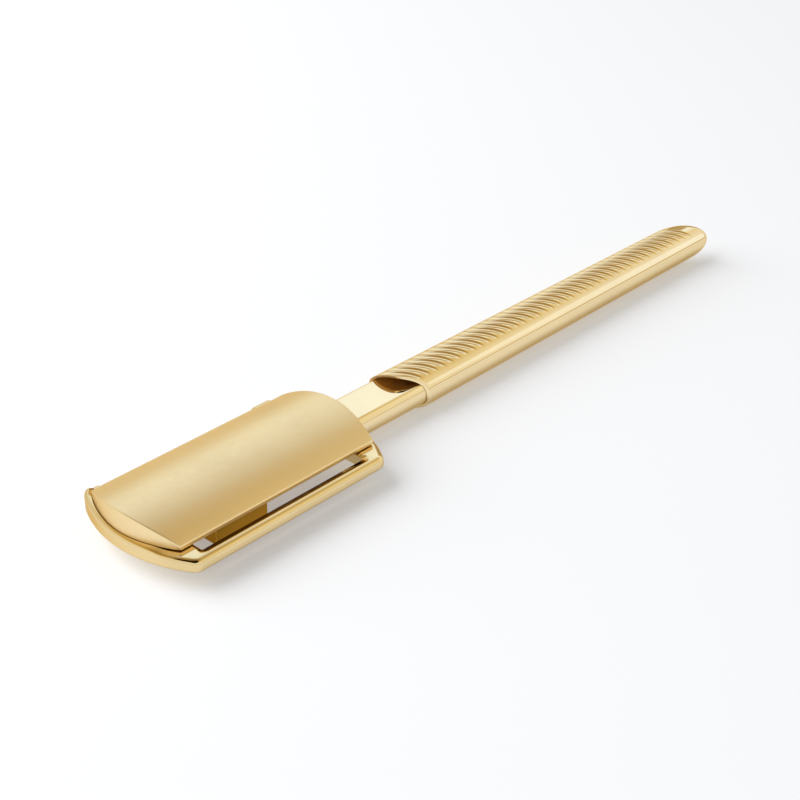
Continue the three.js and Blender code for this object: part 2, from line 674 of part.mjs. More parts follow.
function handle() {
  const slantReach = BEVEL_SLANT * MOUTH_WIDTH + BEVEL_RAKE * MOUTH_HEIGHT;
  const domeX = handleEndX - END_DOME;
  const rings = [handleRing(mouthX - slantReach, ...handleHalves(mouthX - slantReach))];
  const [endHalfWidth, endHalfHeight] = handleHalves(domeX);
  for (let i = 0; i <= DOME_STEPS; i++) {
    const angle = (i / (DOME_STEPS + TIP_FLAT)) * (Math.PI / 2);
    const x = domeX + END_DOME * Math.sin(angle);
    const ring = handleRing(x, endHalfWidth, endHalfHeight, Math.cos(angle));
    for (const point of ring) {
      point.x += END_RAKE * (point.z - axisZ) - END_SLANT * point.y;
    }
    rings.push(ring);
  }
  let body = loft(rings);

  const socketHalves = [neckHalfWidth + FIT, neckHalfHeight + FIT];
  body = body.subtract(
    loft([ovalRing(mouthX - 2 * slantReach, ...socketHalves), ovalRing(socketEndX, ...socketHalves)]),
  );
  const boreHalves = [TANG_WIDTH / 2 + FIT, TANG_HEIGHT / 2 + FIT];
  body = body.subtract(
    loft([ovalRing(socketEndX - PAST, ...boreHalves), ovalRing(tangEndX + BORE_MARGIN, ...boreHalves)]),
  );

  const away = 3 * slantReach;
  body = body.subtract(slantedCut(mouthX + MOUTH_SET_BACK, MOUTH_SLANT, MOUTH_RAKE, away));
  body = body.subtract(slantedCut(mouthX + BEVEL_SET_BACK, BEVEL_SLANT, BEVEL_RAKE, away));

  const firstGroove = mouthX + BEVEL_SET_BACK + BEVEL_RAKE * (MOUTH_HEIGHT / 2) + GROOVE_FROM_BEVEL;
  const lastGroove = domeX + END_RAKE * endHalfHeight - GROOVE_FROM_END;
  for (let x = firstGroove; x <= lastGroove; x += GROOVE_PITCH) {
    body = body.subtract(groove(x));
  }
  for (const x of Object.values(grubScrewX)) {
    body = body.subtract(rodZ(x, 0, -PAST, axisZ - TANG_HEIGHT / 2, GRUB_SCREW_DIAMETER + 2 * FIT));
  }
  return body;
}

// A grub screw in the underside of the handle, bearing on the tang
function grubScrew(x) {
  const [halfWidth, halfHeight] = handleHalves(x);
  const bottomZ = axisZ - halfHeight + flatRise(halfWidth, halfHeight) + GRUB_SCREW_SINK;
  const topZ = axisZ - TANG_HEIGHT / 2 - FACE_GAP;
  const key = rodZ(x, 0, bottomZ - PAST, (bottomZ + topZ) / 2, GRUB_SCREW_SOCKET, KEY_SIDES);
  return rodZ(x, 0, bottomZ, topZ, GRUB_SCREW_DIAMETER).subtract(key);
}

// Finishes
const polishedGold = { color: 0xe0bd72, roughness: 0.12, metalness: 1 };
const blastedGold = { color: 0xd8b878, roughness: 0.5, metalness: 1 };
const steel = { color: 0xc9ccd0, roughness: 0.25, metalness: 1 };
const magnetGrey = { color: 0x8d8f94, roughness: 0.4, metalness: 1 };

const razor = new THREE.Group();

function place(name, body, finish) {
  const mesh = new THREE.Mesh(geometryOf(body), new THREE.MeshStandardMaterial(finish));
  mesh.name = name;
  razor.add(mesh);
}

place("head_frame", headFrame(), polishedGold);
place("neck", neck(), polishedGold);
place("handle", handle(), polishedGold);
place("cap", cap(), blastedGold);
place("blade", blade(), steel);
place("blade_clamp", bladeClamp(), polishedGold);
place("hinge_pin", hingePin(), steel);
place("hinge_washer_front", hingeWasher(frontWasherX), steel);
place("hinge_washer_rear", hingeWasher(rearWasherX), steel);
for (const end of ["front", "rear"]) {
  place(`catch_magnet_${end}`, magnet(catchX[end]), magnetGrey);
  place(`catch_keeper_${end}`, keeper(catchX[end]), steel);
  place(`clamp_screw_${end}`, clampScrew(clampScrewX[end], clampScrewHeadZ[end]), steel);
  place(`blade_pin_${end}`, locatingPin(locatingPinX[end]), steel);
  place(`grub_screw_${end}`, grubScrew(grubScrewX[end]), steel);
}
for (const side of ["near", "far"]) {
  place(`neck_screw_${side}`, neckScrew(neckScrewY[side]), steel);
}

// The origin is under the middle of the whole razor, on the surface that the handle lies on
const extent = new THREE.Box3().setFromObject(razor);
const middle = extent.getCenter(new THREE.Vector3());
razor.position.set(-middle.x, -middle.y, -extent.min.z);

export default razor;
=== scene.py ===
"""Looks of a hair shaping razor: satin domed cap, polished frame, neck and grooved handle."""

import math
from types import SimpleNamespace

import bmesh
import bpy
from bpy.props import FloatProperty, FloatVectorProperty, PointerProperty
from bpy.types import Operator, Panel, PropertyGroup
from mathutils import Matrix, Vector


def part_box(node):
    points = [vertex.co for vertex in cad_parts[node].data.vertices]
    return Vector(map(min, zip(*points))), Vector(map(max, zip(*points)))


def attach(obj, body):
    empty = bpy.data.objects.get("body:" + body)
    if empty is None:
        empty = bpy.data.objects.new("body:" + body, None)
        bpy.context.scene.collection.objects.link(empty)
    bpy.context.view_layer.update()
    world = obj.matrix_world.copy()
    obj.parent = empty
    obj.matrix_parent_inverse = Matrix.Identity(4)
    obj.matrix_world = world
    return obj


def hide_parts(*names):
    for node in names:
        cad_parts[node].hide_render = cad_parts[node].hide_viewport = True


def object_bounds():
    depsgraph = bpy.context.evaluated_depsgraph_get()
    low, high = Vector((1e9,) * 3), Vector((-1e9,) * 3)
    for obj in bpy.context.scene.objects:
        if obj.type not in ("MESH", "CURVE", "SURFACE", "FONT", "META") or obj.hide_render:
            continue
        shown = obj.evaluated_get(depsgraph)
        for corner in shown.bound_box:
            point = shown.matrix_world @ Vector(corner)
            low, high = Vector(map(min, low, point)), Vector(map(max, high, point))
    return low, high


bl_info = {
    "name": "Hair Shaping Razor",
    "version": (1, 0, 0),
    "blender": (4, 5, 0),
    "location": "View3D > Sidebar > Razor",
    "description": "Builds the pieces of a hair shaping razor around its solid model",
    "category": "Object",
}

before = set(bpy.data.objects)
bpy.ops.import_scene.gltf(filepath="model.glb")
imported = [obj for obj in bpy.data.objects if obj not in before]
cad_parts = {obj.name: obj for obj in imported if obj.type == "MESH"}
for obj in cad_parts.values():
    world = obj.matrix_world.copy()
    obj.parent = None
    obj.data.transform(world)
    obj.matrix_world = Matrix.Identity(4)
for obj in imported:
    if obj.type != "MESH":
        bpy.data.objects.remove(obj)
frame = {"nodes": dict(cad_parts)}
CAD_BOX = [list(corner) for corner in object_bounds()]
MM = 0.001
QUARTER = math.pi / 2
ENDS = ("front", "rear")

# Fineness of the round forms
ROUND_SIDES = 48
PIN_HOLE_SIDES = 24
ROUNDING_STEPS = 6
BEVEL_SEGMENTS = 3
ARCH_STEPS = 72
ARC_STEPS = 40
BARREL_STEPS = 30
CORNER_STEPS = 12
NECK_SIDES = 128
NECK_STEPS = 12
NECK_EDGE_STEPS = 3
HANDLE_TOP_STEPS = 64
HANDLE_UNDER_STEPS = 36
RINGS_PER_GROOVE = 16
RIM_STEPS = 5
DOME_STEPS = 18

# Angles from which an edge is rounded, or shaded as an edge
ROUNDED_EDGE = math.radians(30)
SHARP_EDGE = math.radians(38)
SHARP_HANDLE_EDGE = math.radians(50)

# Room between pieces, and how far a hole runs past its fitting or a cut past the surface
FIT = 0.15 * MM
PIN_FIT = 0.08 * MM
SEAT_FIT = 0.05 * MM
BLADE_FIT = 0.02 * MM
BARREL_GAP = 0.5 * MM
SPINE_GAP = 0.25 * MM
LIP_GAP = 0.14 * MM
TANG_GAP = 0.3 * MM
OPEN_END = 0.5 * MM
PAST = 1 * MM


def length(name, text, mm):
    """A length that is written in millimetres and kept in metres"""
    return FloatProperty(
        name=name, description=text, default=mm * MM, min=0, precision=5, unit="LENGTH"
    )


def ratio(name, text, value):
    """A plain number, such as a slant"""
    return FloatProperty(name=name, description=text, default=value)


def share(name, text, value):
    """A number from 0 to 1"""
    return FloatProperty(
        name=name, description=text, default=value, min=0, max=1, subtype="FACTOR"
    )


def angle(name, text, value):
    """An angle in radians"""
    return FloatProperty(name=name, description=text, default=value, subtype="ANGLE")


def colour(name, text, value):
    """A colour in linear light"""
    return FloatVectorProperty(
        name=name, description=text, default=value, size=3, min=0, max=1, subtype="COLOR"
    )


class CapSettings(PropertyGroup):
    """Sizes of the domed cap"""

    length: length("Length", "From corner to corner along the razor", 56.4)
    width: length("Width", "Across the razor", 29)
    rise: length("Rise", "Height of the arch over its edges", 4.5)
    edge: length("Edge", "Height of the straight edge under the arch", 1)
    front_bow: length("Front bow", "How far the front end bows out", 4.6)
    rear_bow: length("Rear bow", "How far the rear end bows out", 1.7)
    wall: length("Wall", "Thickness of the shell", 1.4)
    over_axis: length("Over axis", "Height of the edge over the handle's axis", 3.55)
    rounding: length("Rounding", "Radius on the edges", 0.22)
    seat_width: length("Seat width", "Width of the rib that the blade lies against", 5)
    pad: length("Pad", "Side of the square pads round the keepers", 4.5)


class FrameSettings(PropertyGroup):
    """Sizes of the slotted frame"""

    height: length("Height", "Height of the ring", 3.1)
    seat_gap: length("Seat gap", "Gap between frame and cap", 0.2)
    lip: length("Lip", "How far the front lip stands out past the cap", 1.2)
    tail: length("Tail", "How far the rear wall stands out past the cap", 2.4)
    end_radius: length("End radius", "Radius of the bowed ends", 32.5)
    corner: length("Corner", "Reach of the near corners", 1.3)
    lobe: length("Lobe", "Reach of the lobe at the far front corner", 3)
    lobe_run: length("Lobe run", "Straight part of the lobe", 1.2)
    lip_rise: length("Lip rise", "How far the lip stands over the frame along the front", 0.4)
    lobe_rise: length("Lobe rise", "How much more the lip rises at the far front corner", 0.8)
    slot: length("Slot", "Gap between cap and guard bar", 1.85)
    bar: length("Bar", "Width of the guard bar", 3.35)
    spine: length("Spine", "Width of the far side", 3.1)
    front_wall: length("Front wall", "From the cap's front corners to the window", 3.8)
    rear_wall: length("Rear wall", "From the window to the cap's rear corners", 5.3)
    window_radius: length("Window radius", "Radius in the window's corners", 0.6)
    lip_rounding: length("Lip rounding", "Radius on the top of the lip", 0.95)
    bar_rounding: length("Bar rounding", "Radius on the outer top edge of the guard bar", 1.35)
    slot_slope: length("Slot slope", "Width of the slope beside the slot", 1.9)
    slot_drop: length("Slot drop", "Depth of the slope beside the slot", 0.64)
    window_rounding: length(
        "Window rounding", "Radius on the window's edge away from the bar", 0.35
    )
    base_rounding: length("Base rounding", "Radius on the lower edges", 0.9)


class HingeSettings(PropertyGroup):
    """Sizes of the hinge and the catch"""

    out: length("Out", "From the cap's far edge to the pin", 1.4)
    drop: length("Drop", "From the cap's edge down to the pin", 2.5)
    pin: length("Pin", "Diameter of the pin", 1.2)
    barrel: length("Barrel", "Diameter of the cap's barrel", 2.3)
    ear: length("Ear", "Diameter of the frame's ears", 2.9)
    front_ear: length("Front ear", "Length of the front ear", 2)
    rear_ear: length("Rear ear", "Length of the rear ear", 5.2)
    rear_ear_overhang: length(
        "Rear ear overhang", "How far the rear ear reaches over the window", 2.4
    )
    catch_inset: length("Catch inset", "From the cap's near edge to the catch", 4)
    catch_offset: length("Catch offset", "From the window to the catch", 2.5)


class NeckSettings(PropertyGroup):
    """Sizes of the neck"""

    length: length("Length", "From the frame to the handle's mouth", 16.1)
    half_width: length("Half width", "Half the width of the oval", 6.15)
    half_height: length("Half height", "Half the height of the full oval", 4.45)
    flat: length("Flat", "Height of the flat top over the axis", 2.85)
    shoulder: length("Shoulder", "Softness of the edge between flat and side", 0.3)
    heel: length("Heel", "Length of the swelling start", 4.5)
    recess: length("Recess", "How far the neck is let into the frame", 1.4)
    tang_width: length("Tang width", "Width of the tang in the handle", 10.4)
    tang_height: length("Tang height", "Height of the tang in the handle", 7.2)
    tang_length: length("Tang length", "Length of the tang behind the socket", 38)


class HandleSettings(PropertyGroup):
    """Sizes of the handle"""

    length: length("Length", "From the mouth to the end, along the axis", 126.4)
    mouth_width: length("Mouth width", "Width of the oval at the mouth", 13.9)
    mouth_height: length("Mouth height", "Height of the oval at the mouth", 10.5)
    end_width: length("End width", "Width of the oval at the end", 12.6)
    end_height: length("End height", "Height of the oval at the end", 9.6)
    dome: length("Dome", "Length of the rounded end", 5.6)
    flat: length("Flat", "Width of the flat underneath", 4)
    socket: length("Socket", "Depth of the socket for the neck", 17)
    rim: length("Rim", "Radius on the edges of the mouth", 0.16)
    mouth_set_back: length("Mouth set back", "How far the mouth is cut back at the axis", 5.75)
    mouth_slant: ratio("Mouth slant", "Sideways slope of the mouth", 0.43)
    mouth_rake: ratio("Mouth rake", "Upward slope of the mouth", -0.45)
    bevel_set_back: length("Bevel set back", "How far the bevel is cut back at the axis", 0.4)
    bevel_slant: ratio("Bevel slant", "Sideways slope of the bevel", 1.24)
    bevel_rake: ratio("Bevel rake", "Upward slope of the bevel", 0.53)
    end_slant: ratio("End slant", "Sideways slope of the rounded end", 1.0)
    end_rake: ratio("End rake", "Upward slope of the rounded end", 0.7)
    groove_slant: ratio("Groove slant", "Sideways slope of the grooves", 0.8)
    groove_pitch: length("Groove pitch", "From one groove to the next", 2.85)
    groove_depth: length("Groove depth", "Depth of a groove in its middle", 0.3)
    groove_radius: length("Groove radius", "Radius of the cutter that makes the grooves", 1.5)
    groove_reach: length("Groove reach", "How far a groove runs to each side", 4.4)
    groove_from_bevel: length("First groove", "From the bevel's top to the first groove", 2.1)
    groove_from_end: length("Last groove", "From the last groove to the rounded end", 2.6)


class ClampSettings(PropertyGroup):
    """Sizes of the blade's clamp"""

    length: length("Length", "Along the blade", 41)
    plate: length("Plate", "Thickness of the plate", 1)
    block_length: length("Block length", "Length of the finger block", 14.7)
    block_height: length("Block height", "Height of the finger block under the plate", 4.4)
    block_start: length("Block start", "From the plate's front to the finger block", 4.4)
    bevel: length("Bevel", "Width of the broken edges", 0.2)


class FinishSettings(PropertyGroup):
    """Colours of the metals"""

    polished: colour("Polished gold", "Neck and handle", (0.87, 0.70, 0.41))
    frame: colour("Frame gold", "Frame", (0.80, 0.625, 0.33))
    satin: colour("Satin gold", "Cap", (0.90, 0.72, 0.41))
    brass: colour("Clamp brass", "Blade clamp", (0.36, 0.185, 0.025))
    raw: colour("Raw brass", "Inside of the handle", (0.80, 0.52, 0.23))
    steel: colour("Steel", "Pins, washers, screws and keepers", (0.58, 0.58, 0.60))
    blade: colour("Blade steel", "Blade", (0.70, 0.71, 0.73))
    nickel: colour("Nickel", "Magnets", (0.66, 0.65, 0.62))


class StageSettings(PropertyGroup):
    """Floor, light and camera"""

    floor: share("Floor", "Reflectance of the floor", 0.75)
    glow: share("Glow", "Plain white that the floor adds for the eye", 0.3)
    key: FloatProperty(
        name="Key", description="Power of the key lamp", default=32.0, min=0, unit="POWER"
    )
    fill: FloatProperty(name="Fill", description="Strength of the plain sky", default=0.34, min=0)
    lens: FloatProperty(
        name="Lens", description="Focal length", default=72.6, min=1, unit="CAMERA"
    )
    shift: FloatVectorProperty(
        name="Shift", description="Camera shift", default=(0.0385, -0.00725), size=2
    )
    camera: FloatVectorProperty(
        name="Camera", description="Place of the camera", size=3, unit="LENGTH",
        default=(-0.2670, -0.220775, 0.19899),
    )
    azimuth: angle("Azimuth", "Heading of the view, from +Y", math.radians(-46.98))
    elevation: angle("Elevation", "How steeply the camera looks down", math.radians(30.33))
    roll: angle("Roll", "Camera roll", -0.011)


GROUPS = {
    "razor_cap": CapSettings,
    "razor_frame": FrameSettings,
    "razor_hinge": HingeSettings,
    "razor_neck": NeckSettings,
    "razor_handle": HandleSettings,
    "razor_clamp": ClampSettings,
    "razor_finish": FinishSettings,
    "razor_stage": StageSettings,
}


def sizes():
    """All settings, and the lines and levels that the pieces share"""
    scene = bpy.context.scene
    d = SimpleNamespace(
        cap=scene.razor_cap,
        ring=scene.razor_frame,
        hinge=scene.razor_hinge,
        neck=scene.razor_neck,
        handle=scene.razor_handle,
        clamp=scene.razor_clamp,
    )
    neck_low, neck_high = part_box("neck")
    d.axis_y = (neck_low.y + neck_high.y) / 2
    d.axis_z = neck_low.z + d.neck.half_height
    d.front_tip = -d.cap.front_bow - d.ring.lip
    d.rear_tip = d.cap.length + d.cap.rear_bow + d.ring.tail
    d.corner_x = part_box("head_frame")[0].x - d.front_tip
    d.half_cap = d.cap.width / 2
    d.cap_edge = d.cap.over_axis
    d.cap_bottom = d.cap_edge - d.cap.edge
    d.frame_top = d.cap_bottom - d.ring.seat_gap
    d.frame_bottom = d.frame_top - d.ring.height
    d.hinge_y = d.half_cap + d.hinge.out
    d.hinge_z = d.cap_edge - d.hinge.drop
    d.bar_inner = -d.half_cap - d.ring.slot
    d.bar_outer = d.bar_inner - d.ring.bar
    d.spine_outer = d.hinge_y - d.hinge.barrel / 2 - SPINE_GAP
    d.spine_inner = d.spine_outer - d.ring.spine
    d.ear_outer = d.hinge_y + d.hinge.ear / 2
    d.window_front = d.ring.front_wall
    d.window_rear = d.cap.length - d.ring.rear_wall
    d.frame_mid = (d.bar_outer + d.ear_outer) / 2
    d.neck_seat = d.rear_tip - d.neck.recess
    d.mouth = d.neck_seat + d.neck.length
    d.socket_end = d.mouth + d.handle.socket
    d.tang_end = d.socket_end + d.neck.tang_length
    d.handle_end = d.mouth + d.handle.length
    d.catch_y = -d.half_cap + d.hinge.catch_inset
    d.catch_x = (d.window_front - d.hinge.catch_offset, d.window_rear + d.hinge.catch_offset)
    d.front_ear = (d.window_front - d.hinge.front_ear, d.window_front)
    rear_ear = d.window_rear - d.hinge.rear_ear_overhang
    d.rear_ear = (rear_ear, rear_ear + d.hinge.rear_ear)
    d.blade_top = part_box("blade")[1].z - d.axis_z
    clamp_low, clamp_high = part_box("blade_clamp")
    d.clamp_front = clamp_low.x - d.corner_x
    d.clamp_near = clamp_low.y - d.axis_y
    d.clamp_far = clamp_high.y - d.axis_y
    d.clamp_top = clamp_high.z - d.axis_z
    d.clamp_line = (d.clamp_near + d.clamp_far) / 2
    return d


def spot(d, x, y, z):
    """A point given from the cap's front corners, the middle line and the handle's axis"""
    return Vector((d.corner_x + x, d.axis_y + y, d.axis_z + z))


# Mesh making

MITRE_LIMIT = 0.2
LEDGE_STEP = 0.02 * MM


def add_ring(bm, points):
    """New vertices at the points"""
    return [bm.verts.new(p) for p in points]


def skin(bm, rings, closed=True):
    """Faces between rings of equally many points"""
    for a, b in zip(rings, rings[1:]):
        count = len(a)
        for i in range(count if closed else count - 1):
            j = (i + 1) % count
            bm.faces.new((a[i], a[j], b[j], b[i]))


def tube(bm, sections):
    """A solid through sections of equally many points, closed at both ends"""
    rings = [add_ring(bm, points) for points in sections]
    skin(bm, rings)
    bm.faces.new(rings[0])
    bm.faces.new(rings[-1])


def rectangle(u0, v0, u1, v1):
    """Corners, anticlockwise"""
    return [(u0, v0), (u1, v0), (u1, v1), (u0, v1)]


def circle(u, v, radius, sides=ROUND_SIDES):
    """Points of a circle, anticlockwise"""
    angles = [2 * math.pi * i / sides for i in range(sides)]
    return [(u + radius * math.cos(a), v + radius * math.sin(a)) for a in angles]


def arc(u, v, radius, start, end, steps):
    """Points of an arc, angles in radians, both ends included"""
    angles = [start + (end - start) * i / steps for i in range(steps + 1)]
    return [(u + radius * math.cos(a), v + radius * math.sin(a)) for a in angles]


def bend(p0, p1, p2):
    """Points of a rounded corner from p0 to p2 that leans towards p1, without its first point"""
    out = []
    for i in range(1, CORNER_STEPS + 1):
        t = i / CORNER_STEPS
        s = 1 - t
        out.append(tuple(s**2 * a + 2 * t * s * b + t * t * c for a, b, c in zip(p0, p1, p2)))
    return out


def ease(value, start, end):
    """From 0 to 1 between two values, with a soft start and stop"""
    t = min(max((value - start) / (end - start), 0), 1)
    return t * t * (3 - 2 * t)


def soft_min(a, b, softness):
    """The lesser of two numbers, with a rounded change from one to the other"""
    h = max(softness - abs(a - b), 0) / softness
    return min(a, b) - h * h * softness / 4


def inset(loop, depths):
    """Loop drawn in by a depth for each point; a loop that runs anticlockwise shrinks"""
    out = []
    count = len(loop)
    for i, (u, v) in enumerate(loop):
        before, after = loop[i - 1], loop[(i + 1) % count]
        n1 = Vector((before[1] - v, u - before[0])).normalized()
        n2 = Vector((v - after[1], after[0] - u)).normalized()
        reach = depths[i] / max(1 + n1.dot(n2), MITRE_LIMIT)
        out.append((u + reach * (n1.x + n2.x), v + reach * (n1.y + n2.y)))
    return out


def as_list(value, count):
    """One value for each point, from a list or a single value"""
    return list(value) if hasattr(value, "__len__") else [value] * count


def slab_wall(bm, loop, inward, span, rounding, place, rise=None, ledge=None, crown=None):
    """Side of a slab along one loop, with rounded edges; gives back its lower and upper rings"""
    low, high = span
    count = len(loop)
    lift = rise or [0] * count
    rings = []
    for up, radius in zip((False, True), rounding):
        radii = as_list(radius, count)
        steps = ROUNDING_STEPS if max(radii) > 0 else 0
        for k in range(steps + 1):
            a = QUARTER * (k / steps if steps else 1)
            a = a if up else QUARTER - a
            depths = [inward * r * (1 - math.cos(a)) for r in radii]
            drops = [r * (1 - math.sin(a)) for r in radii]
            if up and crown:
                drops = [w if c == r else c * math.cos(a) for w, c, r in zip(drops, crown, radii)]
            shape = inset(loop, depths)
            if up:
                points = [place(u, v, high + e - w) for (u, v), w, e in zip(shape, drops, lift)]
            else:
                points = [place(u, v, low + w) for (u, v), w in zip(shape, drops)]
            rings.append(add_ring(bm, points))
    if ledge:
        for step, lifted in ((0, True), (LEDGE_STEP, False)):
            shape = inset(loop, [inward * (w + step) for w in ledge])
            points = [place(u, v, high + e * lifted) for (u, v), e in zip(shape, lift)]
            rings.append(add_ring(bm, points))
    skin(bm, rings)
    return rings[0], rings[-1]


def slab(
    bm, outer, holes, span, place,
    rounding=(0, 0), hole_rounding=(0, 0), rise=None, ledge=None, hole_crown=None,
):
    """A solid with holes; place takes the two directions of the loops and the one of the span"""
    walls = [slab_wall(bm, outer, 1, span, rounding, place, rise, ledge)]
    for hole in holes:
        walls.append(slab_wall(bm, hole, -1, span, hole_rounding, place, crown=hole_crown))
    for rings in zip(*walls):
        if len(rings) == 1:
            bm.faces.new(rings[0])
            continue
        edges = [bm.edges.get(pair) for ring in rings for pair in zip(ring, ring[1:] + ring[:1])]
        bmesh.ops.triangle_fill(bm, use_beauty=True, edges=edges)


def lathe(bm, profile, place):
    """A turned solid; the profile gives places along the axis and radii"""
    tube(bm, [[place(u, v, at) for u, v in circle(0, 0, radius)] for at, radius in profile])


def upright_hole(bm, middle, profile):
    """A turned cutting tool that stands upright"""
    lathe(bm, profile, lambda u, v, w: Vector((middle.x + u, middle.y + v, w)))


def fitting_hole(bm, node, below, above):
    """A cutting tool for the hole that a round, upright CAD fitting sits in"""
    low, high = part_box(node)
    radius = (high.x - low.x) / 2 + FIT
    upright_hole(bm, (low + high) / 2, ((low.z - below, radius), (high.z + above, radius)))


def round_edges(bm, radius):
    """Rounds the edges of a mesh"""
    bmesh.ops.recalc_face_normals(bm, faces=bm.faces)
    edges = [e for e in bm.edges if e.calc_face_angle(0) > ROUNDED_EDGE]
    bmesh.ops.bevel(
        bm, geom=edges, offset=radius, offset_type="OFFSET", segments=BEVEL_SEGMENTS,
        profile=0.5, affect="EDGES", clamp_overlap=True,
    )


def mesh_from(bm, name):
    """A mesh with its faces turned outwards"""
    bmesh.ops.recalc_face_normals(bm, faces=bm.faces)
    mesh = bpy.data.meshes.new(name)
    bm.to_mesh(mesh)
    bm.free()
    return mesh


def new_piece(name, bm):
    """An object in the scene with the mesh"""
    obj = bpy.data.objects.new(name, mesh_from(bm, name))
    bpy.context.scene.collection.objects.link(obj)
    return obj


def carve(obj, bm, operation):
    """Joins a tool mesh to an object or cuts it out"""
    tool = new_piece("tool", bm)
    modifier = obj.modifiers.new("carve", "BOOLEAN")
    modifier.operation = operation
    modifier.solver = "EXACT"
    modifier.object = tool
    bpy.context.view_layer.update()
    depsgraph = bpy.context.evaluated_depsgraph_get()
    mesh = bpy.data.meshes.new_from_object(obj.evaluated_get(depsgraph))
    obj.modifiers.clear()
    old, tool_mesh = obj.data, tool.data
    mesh.name = old.name
    obj.data = mesh
    bpy.data.objects.remove(tool)
    for used in (old, tool_mesh):
        bpy.data.meshes.remove(used)


def dress(obj, finish, body, slot, *nodes, sharp=SHARP_EDGE):
    """Shading, finish and place in the model for a piece that stands for CAD nodes"""
    if not obj.data.polygons:
        raise RuntimeError(f"{obj.name} came out empty")
    obj.data.shade_smooth()
    obj.data.set_sharp_from_angle(angle=sharp)
    even = obj.modifiers.new("Even shading", "WEIGHTED_NORMAL")
    even.keep_sharp = True
    even.weight = 80
    obj.data.materials.clear()
    obj.data.materials.append(finish)
    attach(obj, body)
    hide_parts(*nodes)


# Finishes

# Middle part of a noise's values, and the sharpness of the edges that are lightened, partly as
# wear and partly as a painted highlight
NOISE_RANGE = (0.3, 0.7)
WEAR_AND_HIGHLIGHT_EDGES = (0.58, 0.7)


class Surface:
    """A metal with grain, faint colour changes, lightened edges that are partly wear and partly a
    painted highlight, and a fine relief
    """

    def __init__(self, name, tint, metallic, roughness, rim):
        self.tint = tint
        self.material = bpy.data.materials.new(name)
        self.material.use_nodes = True
        self.tree = self.material.node_tree
        self.shader = self.tree.nodes["Principled BSDF"]
        self.shader.inputs["Metallic"].default_value = metallic
        self.shader.inputs["Roughness"].default_value = roughness
        self.shader.inputs["Specular Tint"].default_value = (*rim, 1)
        self.place = self.add("ShaderNodeTexCoord").outputs["Object"]

    def add(self, kind):
        return self.tree.nodes.new(kind)

    def join(self, output, target):
        self.tree.links.new(output, target)

    def noise(self, scale, detail, stretch=(1, 1, 1)):
        mapping = self.add("ShaderNodeMapping")
        mapping.inputs["Scale"].default_value = stretch
        self.join(self.place, mapping.inputs["Vector"])
        node = self.add("ShaderNodeTexNoise")
        node.inputs["Scale"].default_value = scale
        node.inputs["Detail"].default_value = detail
        self.join(mapping.outputs["Vector"], node.inputs["Vector"])
        return node.outputs["Fac"]

    def spread(self, output, old, new):
        """Maps one range of values to another"""
        node = self.add("ShaderNodeMapRange")
        for key, value in zip(("From Min", "From Max", "To Min", "To Max"), (*old, *new)):
            node.inputs[key].default_value = value
        self.join(output, node.inputs["Value"])
        return node.outputs["Result"]

    def mixed(self, factor, first, second):
        """Mix of two colours, where the first may be a socket"""
        node = self.add("ShaderNodeMix")
        node.data_type = "RGBA"
        self.join(factor, node.inputs["Factor"])
        if hasattr(first, "is_linked"):
            self.join(first, node.inputs[6])
        else:
            node.inputs[6].default_value = (*first, 1)
        node.inputs[7].default_value = (*second, 1)
        return node.outputs[2]

    def shade(self, amount):
        return tuple(min(c * amount, 1) for c in self.tint)

    def colour(self, scale, dark, light, worn_and_highlight):
        """Clouds between a darker and a lighter shade, and a lighter shade on the sharp edges that
        is partly wear and partly a painted highlight
        """
        cloud = self.spread(self.noise(scale, 3), NOISE_RANGE, (0, 1))
        body = self.mixed(cloud, self.shade(dark), self.shade(light))
        # Sharp edges, found by pointiness, get the lighter edge shade: partly wear, partly a
        # painted highlight along each edge
        pointed = self.add("ShaderNodeNewGeometry").outputs["Pointiness"]
        edge = self.spread(pointed, WEAR_AND_HIGHLIGHT_EDGES, (0, 1))
        self.join(self.mixed(edge, body, self.shade(worn_and_highlight)), self.shader.inputs["Base Color"])

    def gloss(self, output, low, high):
        self.join(self.spread(output, NOISE_RANGE, (low, high)), self.shader.inputs["Roughness"])

    def relief(self, output, depth, strength):
        bump = self.add("ShaderNodeBump")
        bump.inputs["Strength"].default_value = strength
        bump.inputs["Distance"].default_value = depth
        self.join(output, bump.inputs["Height"])
        self.join(bump.outputs["Normal"], self.shader.inputs["Normal"])


def recipe(tint, roughness, clouds, gloss, relief, rim=(1, 1, 1), metallic=1.0):
    """What a finish is made of; gloss and relief start with a noise's scale, detail and stretch"""
    return SimpleNamespace(
        tint=tint, roughness=roughness, clouds=clouds, gloss=gloss, relief=relief,
        rim=rim, metallic=metallic,
    )
